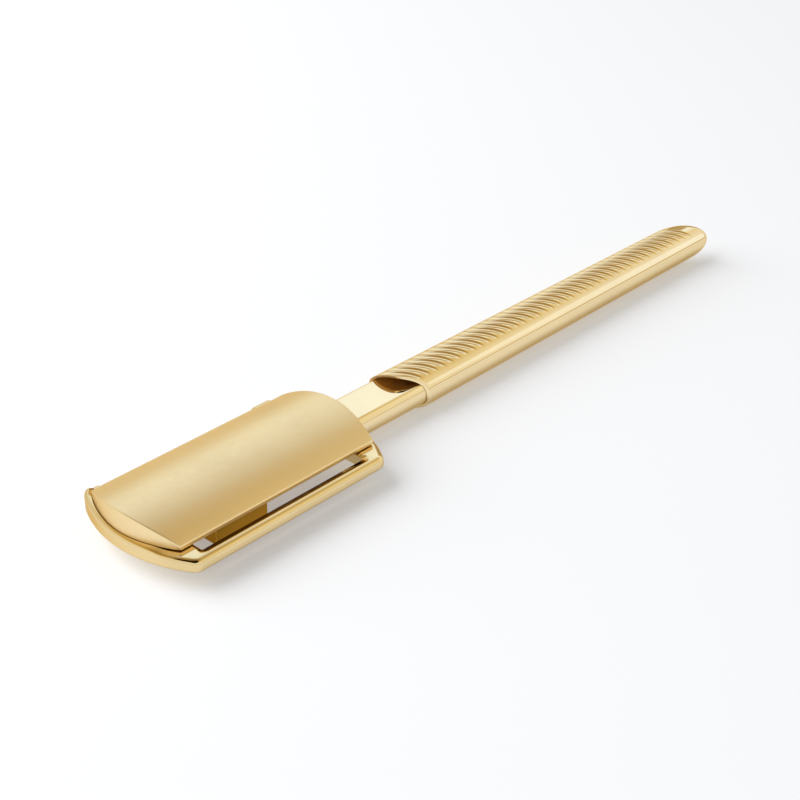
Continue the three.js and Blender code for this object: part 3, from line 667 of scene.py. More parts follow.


# Clouds give the noise's scale, the darker and the lighter shade, and the edge shade, which is
# partly wear and partly a painted highlight
FINISHES = {
    # Mirror polish with faint buffing lines along the piece
    "mirror_gold": recipe(
        "polished", 0.05, (90, 0.97, 1.02, 1.06),
        gloss=((320, 4, (0.25, 1, 1)), 0.02, 0.045),
        relief=((1400, 5, (0.06, 1, 1)), 0.000001, 0.1), rim=(0.85, 0.68, 0.42),
    ),
    # Polish of the frame, a little softer than the handle's
    "frame_gold": recipe(
        "frame", 0.07, (110, 0.96, 1.03, 1.08),
        gloss=((360, 4, (0.4, 1, 1)), 0.04, 0.08),
        relief=((1600, 5, (0.1, 1, 1)), 0.000001, 0.12), rim=(0.80, 0.62, 0.36),
    ),
    # Bead-blasted skin with an even, fine grain
    "blasted_gold": recipe(
        "satin", 0.37, (60, 0.97, 1.02, 1.06),
        gloss=((900, 3), 0.33, 0.41),
        relief=((3600, 3), 0.00003, 0.35), rim=(0.80, 0.62, 0.36),
    ),
    # Unpolished, dulled metal inside the handle
    "raw_brass": recipe(
        "raw", 0.5, (220, 0.75, 1.2, 1.3),
        gloss=((600, 4, (0.2, 1, 1)), 0.42, 0.6),
        relief=((2600, 4, (0.1, 1, 1)), 0.00003, 0.4), rim=(0.90, 0.75, 0.50), metallic=0.2,
    ),
    # Darker brass, brushed along the blade
    "brushed_brass": recipe(
        "brass", 0.38, (160, 0.8, 1.15, 1.5),
        gloss=((500, 4, (0.1, 1, 1)), 0.30, 0.48),
        relief=((2200, 5, (0.04, 1, 1)), 0.00003, 0.5), rim=(0.45, 0.28, 0.10),
    ),
    # Steel with fine turning lines
    "turned_steel": recipe(
        "steel", 0.28, (300, 0.9, 1.08, 1.2),
        gloss=((1500, 4), 0.2, 0.36),
        relief=((5200, 3, (1, 1, 0.2)), 0.00001, 0.3),
    ),
    # Ground steel with marks across the blade
    "ground_steel": recipe(
        "blade", 0.2, (120, 0.93, 1.05, 1.15),
        gloss=((700, 4, (1, 0.05, 1)), 0.14, 0.3),
        relief=((2600, 4, (1, 0.03, 1)), 0.00001, 0.4),
    ),
    # Nickel plate with a soft bloom
    "nickel": recipe(
        "nickel", 0.22, (400, 0.92, 1.05, 1.12),
        gloss=((1200, 3), 0.16, 0.3),
        relief=((4200, 3), 0.00001, 0.25),
    ),
}


def finish(name):
    """A finish by its name, made when it is first asked for"""
    if name not in bpy.data.materials:
        made_of = FINISHES[name]
        tint = tuple(getattr(bpy.context.scene.razor_finish, made_of.tint))
        surface = Surface(name, tint, made_of.metallic, made_of.roughness, made_of.rim)
        surface.colour(*made_of.clouds)
        grain, low, high = made_of.gloss
        surface.gloss(surface.noise(*grain), low, high)
        grain, depth, strength = made_of.relief
        surface.relief(surface.noise(*grain), depth, strength)
    return bpy.data.materials[name]


# Cap


def arch(d, y):
    """Height of the cap's arch over its edge"""
    radius = (d.half_cap**2 + d.cap.rise**2) / (2 * d.cap.rise)
    return math.sqrt(radius**2 - y**2) - (radius - d.cap.rise)


def dome_rows(d, draw_in):
    """Sections across the cap: lower front, upper front, upper rear and lower rear points"""
    rows = []
    for i in range(ARCH_STEPS + 1):
        y = (d.half_cap - draw_in) * (2 * i / ARCH_STEPS - 1)
        bow = 1 - (y / d.half_cap) ** 2
        front = draw_in - d.cap.front_bow * bow
        rear = d.cap.length - draw_in + d.cap.rear_bow * bow
        top, bottom = d.cap_edge + arch(d, y) - draw_in, d.cap_bottom
        corners = ((front, bottom), (front, top), (rear, top), (rear, bottom))
        rows.append([spot(d, x, y, z) for x, z in corners])
    return rows


def cap_shell(d):
    """Closed shell of the cap with rounded edges"""
    bm = bmesh.new()
    outer = [add_ring(bm, row) for row in dome_rows(d, 0)]
    inner = [add_ring(bm, row) for row in dome_rows(d, d.cap.wall)]
    for rows in (outer, inner):
        skin(bm, rows, closed=False)
        bm.faces.new(rows[0])
        bm.faces.new(rows[-1])
    for a, b, i, j in zip(outer, outer[1:], inner, inner[1:]):
        bm.faces.new((a[0], b[0], j[0], i[0]))
        bm.faces.new((a[3], b[3], j[3], i[3]))
    for o, i in ((outer[0], inner[0]), (outer[-1], inner[-1])):
        bm.faces.new((o[0], o[3], i[3], i[0]))
    round_edges(bm, d.cap.rounding)
    return bm


def cap_fittings(d):
    """Hinge barrel with its web, the blade's seat and the pads round the keepers"""
    bm = bmesh.new()

    def along(y, z, x):
        return spot(d, x, y, z)

    def in_shell(y):
        return d.cap_edge + arch(d, y) - d.cap.wall / 2

    def under_arch(x, y, top):
        return spot(d, x, y, in_shell(y) if top else d.cap_bottom)

    r = d.hinge.barrel / 2
    root, web = d.half_cap - d.cap.wall / 2, d.cap_edge - d.cap.edge / 4
    loop = arc(d.hinge_y, d.hinge_z, r, math.pi, 2.5 * math.pi, BARREL_STEPS)
    loop += [(d.half_cap - d.cap.edge / 4, web), (root, web)]
    loop += [(root, d.cap_bottom), (d.hinge_y - r, d.cap_bottom)]
    pin_hole = circle(d.hinge_y, d.hinge_z, d.hinge.pin / 2 + PIN_FIT, PIN_HOLE_SIDES)
    slab(bm, loop, [pin_hole], (d.window_front + BARREL_GAP, d.rear_ear[0] - BARREL_GAP), along)

    near, far = d.clamp_line - d.cap.seat_width / 2, d.clamp_line + d.cap.seat_width / 2
    seat = [(near, d.blade_top + BLADE_FIT), (far, d.blade_top + BLADE_FIT)]
    seat += [(y, in_shell(y)) for y in (far, d.clamp_line, near)]
    slab(bm, seat, [], (d.clamp_front, d.clamp_front + d.clamp.length), along)

    half = d.cap.pad / 2
    for x in d.catch_x:
        square = rectangle(x - half, d.catch_y - half, x + half, d.catch_y + half)
        slab(bm, square, [], (0, 1), under_arch)
    return bm


class RAZOR_OT_cap(Operator):
    """Build the satin domed cap"""

    bl_idname = "razor.cap"
    bl_label = "Domed cap"

    def execute(self, context):
        d = sizes()
        cap = new_piece("domed_cap", cap_shell(d))
        carve(cap, cap_fittings(d), "UNION")
        holes = bmesh.new()
        for end in ENDS:
            fitting_hole(holes, f"catch_keeper_{end}", OPEN_END, SEAT_FIT)
        carve(cap, holes, "DIFFERENCE")
        dress(cap, finish("blasted_gold"), "lid", "satin_gold", "cap")
        return {"FINISHED"}


# Frame

# The lip starts to rise after the cap's near corner, rises further from the lobe's start on
# and dies out behind the cap's far corner
LIP_START = (1.3 * MM, 5.5 * MM)
LOBE_START = -2 * MM
LIP_END = -0.5 * MM
LEDGE_END = 1 * MM
LEDGE_MARGIN = 0.01 * MM
# The bar's rounding becomes the lip's, and the slope beside the slot the window's rounding
BAR_CHANGE = (1 * MM, 6 * MM)
SLOPE_CHANGE = 1.2 * MM
EAR_SET_IN = 0.25 * MM
EAR_FOOT = 0.9 * MM
EAR_ARC = (-0.75 * math.pi, 0.62 * math.pi)
EAR_ROUNDING = 0.35 * MM
EAR_HOLE_ROUNDING = 0.1 * MM
NECK_SCREW_HEAD = 1.15 * MM


def frame_outline(d):
    """Outer edge of the frame, anticlockwise from the front arc's far end"""
    r = d.ring.end_radius
    front_mid, rear_mid = d.front_tip + r, d.rear_tip - r

    def lean(y):
        return math.asin((y - d.frame_mid) / r)

    near, reach = d.bar_outer + d.ring.corner, d.ring.corner
    far = d.ear_outer - EAR_SET_IN
    front_arc = (math.pi - lean(far - d.ring.lobe), math.pi - lean(near))
    loop = arc(front_mid, d.frame_mid, r, *front_arc, ARC_STEPS)
    near_front = front_mid - r * math.cos(lean(d.bar_outer))
    near_rear = rear_mid + r * math.cos(lean(d.bar_outer))
    loop += bend(loop[-1], (near_front, d.bar_outer), (near_front + reach, d.bar_outer))
    tail = arc(rear_mid, d.frame_mid, r, lean(near), lean(d.spine_outer), ARC_STEPS)
    start = (near_rear - reach, d.bar_outer)
    loop.append(start)
    loop += bend(start, (near_rear, d.bar_outer), tail[0])
    loop += tail[1:]
    loop += [(d.window_front, d.spine_outer), (d.window_front, far)]
    far_front = front_mid - r * math.cos(lean(far))
    start = (d.window_front - d.ring.lobe_run, far)
    loop.append(start)
    loop += bend(start, (min(far_front, start[0] - d.ring.lobe_run), far), loop[0])[:-1]
    return loop


def window_outline(d):
    """Edge of the window, anticlockwise from its far rear corner"""
    r = d.ring.window_radius
    front, rear = d.window_front + r, d.window_rear - r
    near, far = d.bar_inner + r, d.spine_inner - r
    loop = []
    for i, (x, y) in enumerate(((rear, far), (front, far), (front, near), (rear, near))):
        loop += arc(x, y, r, i * QUARTER, (i + 1) * QUARTER, CORNER_STEPS)
    return loop


def blend_by_y(loop, span, near, far):
    """A size for each point, from one on the bar's side of the span to another beyond it"""
    return [near + (far - near) * ease(y, *span) for _, y in loop]


def lip_rise(d, loop):
    """How far the lip's top rises at each point of the outline"""
    start, full = (y - d.half_cap for y in LIP_START)
    out = []
    for x, y in loop:
        rise = d.ring.lip_rise * ease(y, start, full)
        rise += d.ring.lobe_rise * ease(y, LOBE_START, d.half_cap)
        rise *= 1 - ease(x, LIP_END, d.window_front - d.ring.lobe_run)
        out.append(rise if x < d.window_front else 0)
    return out


def lip_ledge(d, loop, rounding):
    """How far in the lip's flat top reaches at each point: up to the cap along the front"""
    out = []
    for (x, y), r in zip(loop, rounding):
        cap = -d.cap.front_bow * (1 - (y / d.half_cap) ** 2)
        slope = 2 * d.cap.front_bow * y / d.half_cap**2
        room = (cap - x) / math.hypot(1, slope) - LIP_GAP
        beside = abs(y) < d.half_cap - LEDGE_END and x < 0
        out.append(max(r + LEDGE_MARGIN, room if beside else 0))
    return out


def ear_outline(d):
    """Side view of a hinge ear: a round boss with a foot on the spine"""
    foot = d.spine_outer - EAR_FOOT
    loop = arc(d.hinge_y, d.hinge_z, d.hinge.ear / 2, *EAR_ARC, ARC_STEPS)
    return loop + [(foot, d.frame_top), (foot, d.frame_bottom + EAR_FOOT)]


def frame_ring(d):
    """The ring with its raised lip and the slope beside the slot"""
    ring = d.ring
    outer, window = frame_outline(d), window_outline(d)
    bar = [d.bar_outer + y for y in BAR_CHANGE]
    slope = (d.bar_inner, d.bar_inner + SLOPE_CHANGE)
    top = blend_by_y(outer, bar, ring.bar_rounding, ring.lip_rounding)
    bm = bmesh.new()
    slab(
        bm, outer, [window], (d.frame_bottom, d.frame_top), lambda x, y, z: spot(d, x, y, z),
        rounding=(ring.base_rounding, top),
        hole_rounding=(
            ring.window_rounding,
            blend_by_y(window, slope, ring.slot_slope, ring.window_rounding),
        ),
        rise=lip_rise(d, outer),
        ledge=lip_ledge(d, outer, top),
        hole_crown=blend_by_y(window, slope, ring.slot_drop, ring.window_rounding),
    )
    return bm


def hinge_ear(d, span, pierced):
    """One ear of the hinge; only the rear one is pierced, as the pin ends inside the front one"""
    holes = [circle(d.hinge_y, d.hinge_z, d.hinge.pin / 2 + PIN_FIT)] if pierced else []
    bm = bmesh.new()
    slab(
        bm, ear_outline(d), holes, span, lambda y, z, x: spot(d, x, y, z),
        rounding=(EAR_ROUNDING, EAR_ROUNDING),
        hole_rounding=(EAR_HOLE_ROUNDING, EAR_HOLE_ROUNDING),
    )
    return bm


def frame_cuts(d):
    """Seats of the magnets, holes of the neck screws and the pocket for the neck"""
    bm = bmesh.new()
    for end in ENDS:
        fitting_hole(bm, f"catch_magnet_{end}", SEAT_FIT, PAST)
    for side in ("near", "far"):
        low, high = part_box(f"neck_screw_{side}")
        middle = (low + high) / 2
        radius = (high.y - low.y) / 2 + FIT
        profile = ((low.x - PAST, radius), (low.x + NECK_SCREW_HEAD, radius))
        lathe(bm, profile, lambda u, v, w, m=middle: Vector((w, m.y + u, m.z + v)))
    half = d.neck.half_width + FIT
    pocket = rectangle(d.neck_seat, -half, d.rear_tip + PAST, half)
    span = (d.frame_bottom - PAST, d.frame_top + PAST)
    slab(bm, pocket, [], span, lambda x, y, z: spot(d, x, y, z))
    return bm


class RAZOR_OT_frame(Operator):
    """Build the polished frame with its lip, guard bar and hinge ears"""

    bl_idname = "razor.frame"
    bl_label = "Slotted frame"

    def execute(self, context):
        d = sizes()
        ring = new_piece("slotted_frame", frame_ring(d))
        carve(ring, hinge_ear(d, d.front_ear, False), "UNION")
        carve(ring, hinge_ear(d, d.rear_ear, True), "UNION")
        carve(ring, frame_cuts(d), "DIFFERENCE")
        dress(ring, finish("frame_gold"), "grip", "polished_gold", "head_frame")
        return {"FINISHED"}


# Neck

NECK_EDGE = 0.2 * MM
TANG_BEVEL = 0.5 * MM
TANG_TIP = 0.88


def neck_section(d, x, depth, draw_in=0):
    """Points round the neck, with its flat top and an underside of a given depth"""
    n = d.neck
    points = []
    for across, up in circle(0, 0, 1, NECK_SIDES):
        z = soft_min((n.half_height - draw_in) * up, n.flat - draw_in, n.shoulder)
        z = z if z > 0 else z * depth / n.half_height
        points.append(spot(d, x, (n.half_width - draw_in) * across, z))
    return points


def tang_section(d, x, scale):
    """Points round the tang"""
    half_width, half_height = d.neck.tang_width / 2 * scale, d.neck.tang_height / 2 * scale
    return [spot(d, x, half_width * u, half_height * v) for u, v in circle(0, 0, 1, NECK_SIDES)]


class RAZOR_OT_neck(Operator):
    """Build the polished neck with its flat top and its tang"""

    bl_idname = "razor.neck"
    bl_label = "Neck"

    def execute(self, context):
        d = sizes()
        n = d.neck
        front, end = d.neck_seat + SEAT_FIT, d.socket_end - TANG_GAP
        heel_depth = -d.frame_bottom
        sections = []
        for k in range(NECK_EDGE_STEPS, -1, -1):
            a = QUARTER * k / NECK_EDGE_STEPS
            x, draw_in = front + NECK_EDGE * (1 - math.sin(a)), NECK_EDGE * (1 - math.cos(a))
            sections.append(neck_section(d, x, heel_depth, draw_in))
        for i in range(1, NECK_STEPS + 1):
            t = i / NECK_STEPS
            depth = heel_depth + (n.half_height - heel_depth) * math.sin(t * QUARTER)
            sections.append(neck_section(d, front + NECK_EDGE + n.heel * t, depth))
        heel_end = front + n.heel
        for i in range(1, NECK_STEPS + 1):
            x = heel_end + (end - heel_end) * i / NECK_STEPS
            sections.append(neck_section(d, x, n.half_height))
        for x, scale in ((end, 1), (d.tang_end - TANG_BEVEL, 1), (d.tang_end, TANG_TIP)):
            sections.append(tang_section(d, x, scale))
        bm = bmesh.new()
        tube(bm, sections)
        neck = new_piece("oval_neck", bm)
        dress(neck, finish("mirror_gold"), "grip", "polished_gold", "neck")
        return {"FINISHED"}


# Handle

# Over these lengths the slanting mouth and end become the slant of the grooves
MOUTH_CHANGE = 14 * MM
END_CHANGE = 20 * MM
MOUTH_CORNER = 1 * MM
FLAT_EDGE = 0.1 * MM
SOCKET_STRAIGHT = 5 * MM
# Degrees round the oval that hold the grooves and get closer points
GROOVED_FROM = -20
GROOVED_TO = 200


class HandleForm:
    """The handle's skin as sections, from the bottom of the bore over the rim to the end"""

    def __init__(self, d):
        h = d.handle
        self.d, self.h = d, h
        self.dome_x = d.handle_end - h.dome
        bevel_top = d.mouth + h.bevel_set_back + h.bevel_rake * h.mouth_height / 2
        self.first = bevel_top + h.groove_from_bevel
        last = self.dome_x + h.end_rake * h.end_height / 2 - h.groove_from_end
        self.grooves = int((last - self.first) / h.groove_pitch) + 1
        top, under = GROOVED_TO - GROOVED_FROM, 360 - (GROOVED_TO - GROOVED_FROM)
        turns = [GROOVED_FROM + top * i / HANDLE_TOP_STEPS for i in range(HANDLE_TOP_STEPS)]
        turns += [GROOVED_TO + under * i / HANDLE_UNDER_STEPS for i in range(HANDLE_UNDER_STEPS)]
        self.round = [(math.cos(a), math.sin(a)) for a in map(math.radians, turns)]
        self.sections = []
        self.add_inside()
        self.add_rim()
        self.add_grip()
        self.add_end()

    def halves(self, x):
        """Half the width and half the height of the oval"""
        h = self.h
        t = (x - self.d.mouth) / h.length
        width = h.mouth_width + (h.end_width - h.mouth_width) * t
        height = h.mouth_height + (h.end_height - h.mouth_height) * t
        return width / 2, height / 2

    def flat(self, half_width, half_height):
        """Depth of the flat underneath"""
        return half_height * math.sqrt(1 - (self.h.flat / 2 / half_width) ** 2)

    def mouth_line(self, y, z):
        """How far the mouth's edge is cut back, by its own plane or by the bevel over it"""
        h = self.h
        mouth = h.mouth_set_back - h.mouth_slant * y + h.mouth_rake * z
        bevel = h.bevel_set_back - h.bevel_slant * y + h.bevel_rake * z
        return -soft_min(-mouth, -bevel, MOUTH_CORNER)

    def warp(self, x, y, z):
        """Place along the handle of a point that belongs to the section at x"""
        h = self.h
        mouth = 1 - ease(x, self.d.mouth, self.d.mouth + MOUTH_CHANGE)
        end = ease(x, self.dome_x - END_CHANGE, self.dome_x)
        slant = h.groove_slant * (1 - mouth) * (1 - end) + h.end_slant * end
        return x + mouth * self.mouth_line(y, z) - slant * y + h.end_rake * end * z

    def groove_cut(self, x, y):
        """Depth of the grip grooves at a place on the handle's top"""
        h = self.h
        taper = 1 - (y / h.groove_reach) ** 2
        if taper <= 0:
            return 0
        step = (x + h.groove_slant * y - self.first) / h.groove_pitch
        nearest = min(max(round(step), 0), self.grooves - 1)
        across = (step - nearest) * h.groove_pitch / math.hypot(1, h.groove_slant)
        return max(h.groove_depth * taper - across**2 / (2 * h.groove_radius), 0)

    def add_oval(self, x, half_width, half_height, flat=None, bent=True):
        """A plain section"""
        points = []
        for across, up in self.round:
            y, z = half_width * across, half_height * up
            if flat is not None:
                z = -soft_min(-z, flat, FLAT_EDGE)
            points.append(spot(self.d, self.warp(x, y, z) if bent else x, y, z))
        self.sections.append(points)

    def add_grooved(self, x):
        """A section that the grooves are cut into"""
        b, c = self.halves(x)
        flat = self.flat(b, c)
        points = []
        for across, up in self.round:
            y, z = b * across, c * up
            along = self.warp(x, y, z)
            out = Vector((0, y / b**2, z / c**2)).normalized()
            cut = self.groove_cut(along, y) if z > 0 else 0
            z = -soft_min(-z, flat, FLAT_EDGE)
            points.append(spot(self.d, along, y - cut * out.y, z - cut * out.z))
        self.sections.append(points)

    def add_inside(self):
        """The bore for the tang and the socket for the neck"""
        d = self.d
        bore = d.neck.tang_width / 2 + FIT, d.neck.tang_height / 2 + FIT
        self.socket = d.neck.half_width + FIT / 4, d.neck.half_height + FIT / 4
        self.add_oval(d.tang_end + TANG_GAP, *bore, bent=False)
        self.add_oval(d.socket_end, *bore, bent=False)
        self.add_oval(d.socket_end, *self.socket, bent=False)
        self.add_oval(d.mouth + SOCKET_STRAIGHT, *self.socket)

    def add_rim(self):
        """The mouth's edge, rounded inside and outside"""
        d, h = self.d, self.h
        for inner in (True, False):
            for k in range(RIM_STEPS + 1):
                a = QUARTER * k / RIM_STEPS
                a = a if inner else QUARTER - a
                x, draw = d.mouth + h.rim * (1 - math.sin(a)), h.rim * (1 - math.cos(a))
                if inner:
                    self.add_oval(x, *(s + draw for s in self.socket))
                else:
                    halves = [m - draw for m in self.halves(d.mouth)]
                    self.add_oval(x, *halves, self.flat(*halves))

    def add_grip(self):
        """The grooved length, in steps that match the grooves"""
        step = self.h.groove_pitch / RINGS_PER_GROOVE
        start = self.d.mouth + self.h.rim
        for i in range(1, int((self.dome_x - start) / step) + 1):
            x = self.first + step * (round((start - self.first) / step) + i)
            if x > self.dome_x:
                break
            self.add_grooved(x)

    def add_end(self):
        """The rounded end"""
        b, c = self.halves(self.dome_x)
        flat = self.flat(b, c)
        for k in range(1, DOME_STEPS):
            a = QUARTER * k / DOME_STEPS
            s = math.cos(a)
            self.add_oval(self.dome_x + self.h.dome * math.sin(a), b * s, c * s, flat * s)


class RAZOR_OT_handle(Operator):
    """Build the polished handle with its slanted mouth and grip grooves"""

    bl_idname = "razor.handle"
    bl_label = "Grooved handle"

    def execute(self, context):
        d = sizes()
        bm = bmesh.new()
        tube(bm, HandleForm(d).sections)
        handle = new_piece("grooved_handle", bm)
        holes = bmesh.new()
        for end in ENDS:
            fitting_hole(holes, f"grub_screw_{end}", PAST, OPEN_END)
        carve(handle, holes, "DIFFERENCE")
        polish = finish("mirror_gold")
        dress(handle, polish, "grip", "polished_gold", "handle", sharp=SHARP_HANDLE_EDGE)
        handle.data.materials.append(finish("raw_brass"))
        for face in handle.data.polygons:
            out = face.center - spot(d, 0, 0, 0)
            if Vector((0, out.y, out.z)).dot(face.normal) < 0:
                face.material_index = 1
        return {"FINISHED"}


# Clamp and small fittings

CLAMP_SCREW_HEAD = 1.25 * MM
CLAMP_SCREW_SHANK = 1.15 * MM


class RAZOR_OT_clamp(Operator):
    """Build the brass blade clamp with its finger block"""

    bl_idname = "razor.clamp"
    bl_label = "Blade clamp"

    def execute(self, context):
        d = sizes()
        c = d.clamp
        x0, x1 = d.clamp_front, d.clamp_front + c.length
        b0, b1 = x0 + c.block_start, x0 + c.block_start + c.block_length
        top, under = d.clamp_top, d.clamp_top - c.plate
        foot = under - c.block_height
        side = [(x0, under), (b0, under), (b0, foot), (b1, foot)]
        side += [(b1, under), (x1, under), (x1, top), (x0, top)]
        bm = bmesh.new()
        slab(bm, side, [], (d.clamp_near, d.clamp_far), lambda x, z, y: spot(d, x, y, z))
        round_edges(bm, c.bevel)
        clamp = new_piece("clamp_plate", bm)
        holes = bmesh.new()
        below, above = d.axis_z + foot - PAST, d.axis_z + top + PAST
        for node in ("clamp_screw_front", "clamp_screw_rear", "blade_pin_front", "blade_pin_rear"):
            low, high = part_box(node)
            radius = (high.x - low.x) / 2 + FIT
            shank = radius if "pin" in node else CLAMP_SCREW_SHANK
            profile = [(below, shank), (above, shank)]
            if node == "clamp_screw_front":
                # Its head is sunk in the finger block
                head = low.z + CLAMP_SCREW_HEAD
                profile = [(below, radius), (head, radius), (head, shank), (above, shank)]
            upright_hole(holes, (low + high) / 2, profile)
        carve(clamp, holes, "DIFFERENCE")
        dress(clamp, finish("brushed_brass"), "lid", "clamp_brass", "blade_clamp")
        return {"FINISHED"}


# CAD nodes that are shown as they are
FITTINGS = {
    "ground_steel": ("blade",),
    "nickel": ("catch_magnet_front", "catch_magnet_rear"),
    "turned_steel": (
        "hinge_pin", "hinge_washer_front", "hinge_washer_rear",
        "catch_keeper_front", "catch_keeper_rear", "clamp_screw_front", "clamp_screw_rear",
        "blade_pin_front", "blade_pin_rear", "grub_screw_front", "grub_screw_rear",
        "neck_screw_near", "neck_screw_far",
    ),
}


class RAZOR_OT_fittings(Operator):
    """Give the blade and the small steel fittings their finishes"""

    bl_idname = "razor.fittings"
    bl_label = "Blade and fittings"

    def execute(self, context):
        for name, nodes in FITTINGS.items():
            for node in nodes:
                obj = frame["nodes"][node]
                obj.data.materials.clear()
                obj.data.materials.append(finish(name))
        return {"FINISHED"}


# Stage

FLOOR_HALF = 2.5
FLOOR_TINT = (0.985, 0.995, 1.015)
KEY_PLACE = (-0.8, 0.95, 0.9)
KEY_SIZE = 2.0
SENSOR = 36
CLIP_START = 0.01

# The studio: colours by height, then zones round a direction that dim it or add to it
SKY_STOPS = (
    (0.0, (0.97, 0.97, 0.95)),
    (0.15, (0.96, 0.96, 0.94)),
    (0.17, (0.58, 0.46, 0.27)),
    (0.20, (0.58, 0.46, 0.27)),
    (0.22, (1.0, 1.0, 1.0)),
    (0.55, (1.0, 1.0, 1.0)),
    (0.70, (0.87, 0.77, 0.50)),
    (0.80, (0.68, 0.53, 0.26)),
    (0.90, (0.46, 0.32, 0.12)),
    (1.0, (0.40, 0.27, 0.10)),
)
ZONES = (
    ("ADD", (0.58, 0.53, 0.62), ((0.93, (0, 0, 0)), (0.965, (0.13, 0.30, 0.62)))),
    ("MULTIPLY", (0.58, -0.63, 0.52), ((0.975, (1, 1, 1)), (0.988, (0.97, 0.91, 0.72)))),
    ("ADD", (0.76, -0.50, 0.41), ((0.9915, (0, 0, 0)), (0.996, (0.13, 0.24, 0.50)))),
    ("MULTIPLY", (0.0, 1.0, 0.0), ((0.80, (1, 1, 1)), (0.89, (0.92, 0.89, 0.83)))),
    ("MULTIPLY", (0.85, 0.42, 0.33), ((0.98, (1, 1, 1)), (0.99, (0.50, 0.37, 0.20)))),
    ("MULTIPLY", (-0.34, -0.30, 0.89), ((0.95, (1, 1, 1)), (0.957, (0.05, 0.04, 0.03)))),
)


def seen_directly(tree):
    """1 where a camera, mirror or see-through ray arrives, else 0"""
    path = tree.nodes.new("ShaderNodeLightPath")
    out = path.outputs["Is Camera Ray"]
    for name in ("Is Glossy Ray", "Is Transmission Ray"):
        node = tree.nodes.new("ShaderNodeMath")
        node.operation = "MAXIMUM"
        tree.links.new(out, node.inputs[0])
        tree.links.new(path.outputs[name], node.inputs[1])
        out = node.outputs[0]
    return out


def ramp(tree, source, stops):
    """Colours along a value; each stop is a place and a colour"""
    node = tree.nodes.new("ShaderNodeValToRGB")
    elements = node.color_ramp.elements
    while len(elements) < len(stops):
        elements.new(0.5)
    for element, (at, tone) in zip(elements, stops):
        element.position = at
        element.color = (*tone, 1)
    tree.links.new(source, node.inputs["Fac"])
    return node.outputs["Color"]


def sky(world, strength):
    """A soft studio: bright walls, a calmer warm ceiling and a dark gap over the front"""
    world.use_nodes = True
    world.cycles.sampling_method = "NONE"
    tree = world.node_tree
    link = tree.links.new
    studio = tree.nodes["Background"]
    place = tree.nodes.new("ShaderNodeTexCoord").outputs["Generated"]
    parts = tree.nodes.new("ShaderNodeSeparateXYZ")
    link(place, parts.inputs["Vector"])
    look = ramp(tree, parts.outputs["Z"], SKY_STOPS)
    for kind, direction, stops in ZONES:
        toward = tree.nodes.new("ShaderNodeVectorMath")
        toward.operation = "DOT_PRODUCT"
        toward.inputs[1].default_value = Vector(direction).normalized()
        link(place, toward.inputs[0])
        nearness = tree.nodes.new("ShaderNodeMapRange")
        nearness.inputs["From Min"].default_value = -1
        link(toward.outputs["Value"], nearness.inputs["Value"])
        both = tree.nodes.new("ShaderNodeMix")
        both.data_type = "RGBA"
        both.blend_type = kind
        both.inputs["Factor"].default_value = 1
        link(look, both.inputs[6])
        link(ramp(tree, nearness.outputs["Result"], stops), both.inputs[7])
        look = both.outputs[2]
    link(look, studio.inputs["Color"])
    plain = tree.nodes.new("ShaderNodeBackground")
    plain.inputs["Color"].default_value = (1, 1, 1, 1)
    plain.inputs["Strength"].default_value = strength
    choice = tree.nodes.new("ShaderNodeMixShader")
    link(seen_directly(tree), choice.inputs["Fac"])
    link(plain.outputs[0], choice.inputs[1])
    link(studio.outputs[0], choice.inputs[2])
    link(choice.outputs[0], tree.nodes["World Output"].inputs["Surface"])


def floor_finish(reflectance, glow):
    """Pale floor that looks white where it is lit and keeps the razor's shadow"""
    material = bpy.data.materials.new("pale_floor")
    material.use_nodes = True
    material.cycles.emission_sampling = "NONE"
    tree = material.node_tree
    link = tree.links.new
    tree.nodes.clear()
    out = tree.nodes.new("ShaderNodeOutputMaterial")
    diffuse = tree.nodes.new("ShaderNodeBsdfDiffuse")
    diffuse.inputs["Color"].default_value = (*(c * reflectance for c in FLOOR_TINT), 1)
    emission = tree.nodes.new("ShaderNodeEmission")
    level = tree.nodes.new("ShaderNodeMath")
    level.operation = "MULTIPLY"
    level.inputs[1].default_value = glow
    link(seen_directly(tree), level.inputs[0])
    link(level.outputs[0], emission.inputs["Strength"])
    both = tree.nodes.new("ShaderNodeAddShader")
    link(diffuse.outputs[0], both.inputs[0])
    link(emission.outputs[0], both.inputs[1])
    link(both.outputs[0], out.inputs["Surface"])
    return material


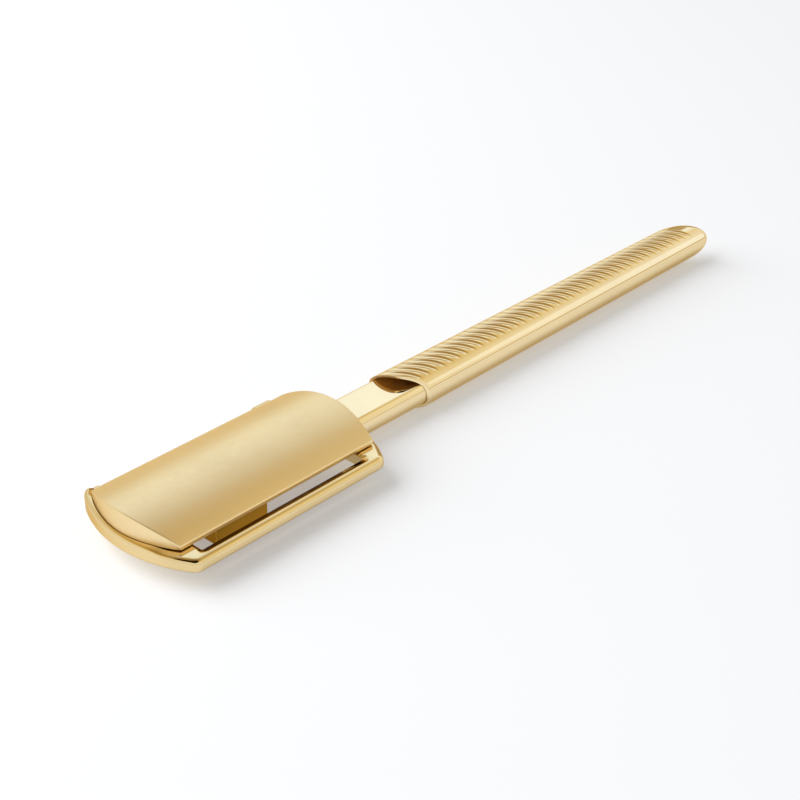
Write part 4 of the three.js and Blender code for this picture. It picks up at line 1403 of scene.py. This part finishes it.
class RAZOR_OT_stage(Operator):
    """Set up the floor, the light and the camera"""

    bl_idname = "razor.stage"
    bl_label = "Stage"

    def execute(self, context):
        scene = context.scene
        s = scene.razor_stage
        bm = bmesh.new()
        bmesh.ops.create_grid(bm, x_segments=4, y_segments=4, size=FLOOR_HALF)
        mesh = bpy.data.meshes.new("floor")
        bm.to_mesh(mesh)
        bm.free()
        floor = bpy.data.objects.new("floor", mesh)
        floor.location.z = CAD_BOX[0][2]
        scene.collection.objects.link(floor)
        floor.data.materials.append(floor_finish(s.floor, s.glow))

        world = bpy.data.worlds.new("studio")
        scene.world = world
        sky(world, s.fill)
        lamp = bpy.data.lights.new("key", "AREA")
        lamp.shape = "DISK"
        lamp.size = KEY_SIZE
        lamp.energy = s.key
        key = bpy.data.objects.new("key", lamp)
        key.location = KEY_PLACE
        key.rotation_euler = (-Vector(KEY_PLACE)).to_track_quat("-Z", "Y").to_euler()
        key.visible_glossy = False
        scene.collection.objects.link(key)

        data = bpy.data.cameras.new("camera")
        data.sensor_width = SENSOR
        data.lens = s.lens
        data.shift_x, data.shift_y = s.shift
        data.clip_start = CLIP_START
        camera = bpy.data.objects.new("camera", data)
        turn = Matrix.Rotation(s.azimuth, 4, "Z") @ Matrix.Rotation(QUARTER - s.elevation, 4, "X")
        turn = turn @ Matrix.Rotation(-s.roll, 4, "Z")
        camera.matrix_world = Matrix.Translation(Vector(s.camera)) @ turn
        scene.collection.objects.link(camera)
        scene.camera = camera
        scene.view_settings.view_transform = "Standard"
        return {"FINISHED"}


OPERATORS = (
    RAZOR_OT_stage,
    RAZOR_OT_cap,
    RAZOR_OT_frame,
    RAZOR_OT_neck,
    RAZOR_OT_handle,
    RAZOR_OT_clamp,
    RAZOR_OT_fittings,
)


class RAZOR_PT_panel(Panel):
    """Buttons and sizes of the razor's pieces"""

    bl_label = "Hair shaping razor"
    bl_idname = "RAZOR_PT_panel"
    bl_space_type = "VIEW_3D"
    bl_region_type = "UI"
    bl_category = "Razor"

    def draw(self, context):
        for operator in OPERATORS:
            self.layout.operator(operator.bl_idname)
        for key, group in GROUPS.items():
            box = self.layout.box()
            box.label(text=group.__doc__)
            for name in group.__annotations__:
                box.prop(getattr(context.scene, key), name)


CLASSES = (*GROUPS.values(), *OPERATORS, RAZOR_PT_panel)


def register():
    for cls in CLASSES:
        bpy.utils.register_class(cls)
    for key, group in GROUPS.items():
        setattr(bpy.types.Scene, key, PointerProperty(type=group))


def unregister():
    for key in GROUPS:
        delattr(bpy.types.Scene, key)
    for cls in reversed(CLASSES):
        bpy.utils.unregister_class(cls)


def main():
    register()
    bpy.ops.razor.stage()
    bpy.ops.razor.cap()
    bpy.ops.razor.frame()
    bpy.ops.razor.neck()
    bpy.ops.razor.handle()
    bpy.ops.razor.clamp()
    bpy.ops.razor.fittings()


if __name__ == "__main__":
    main()
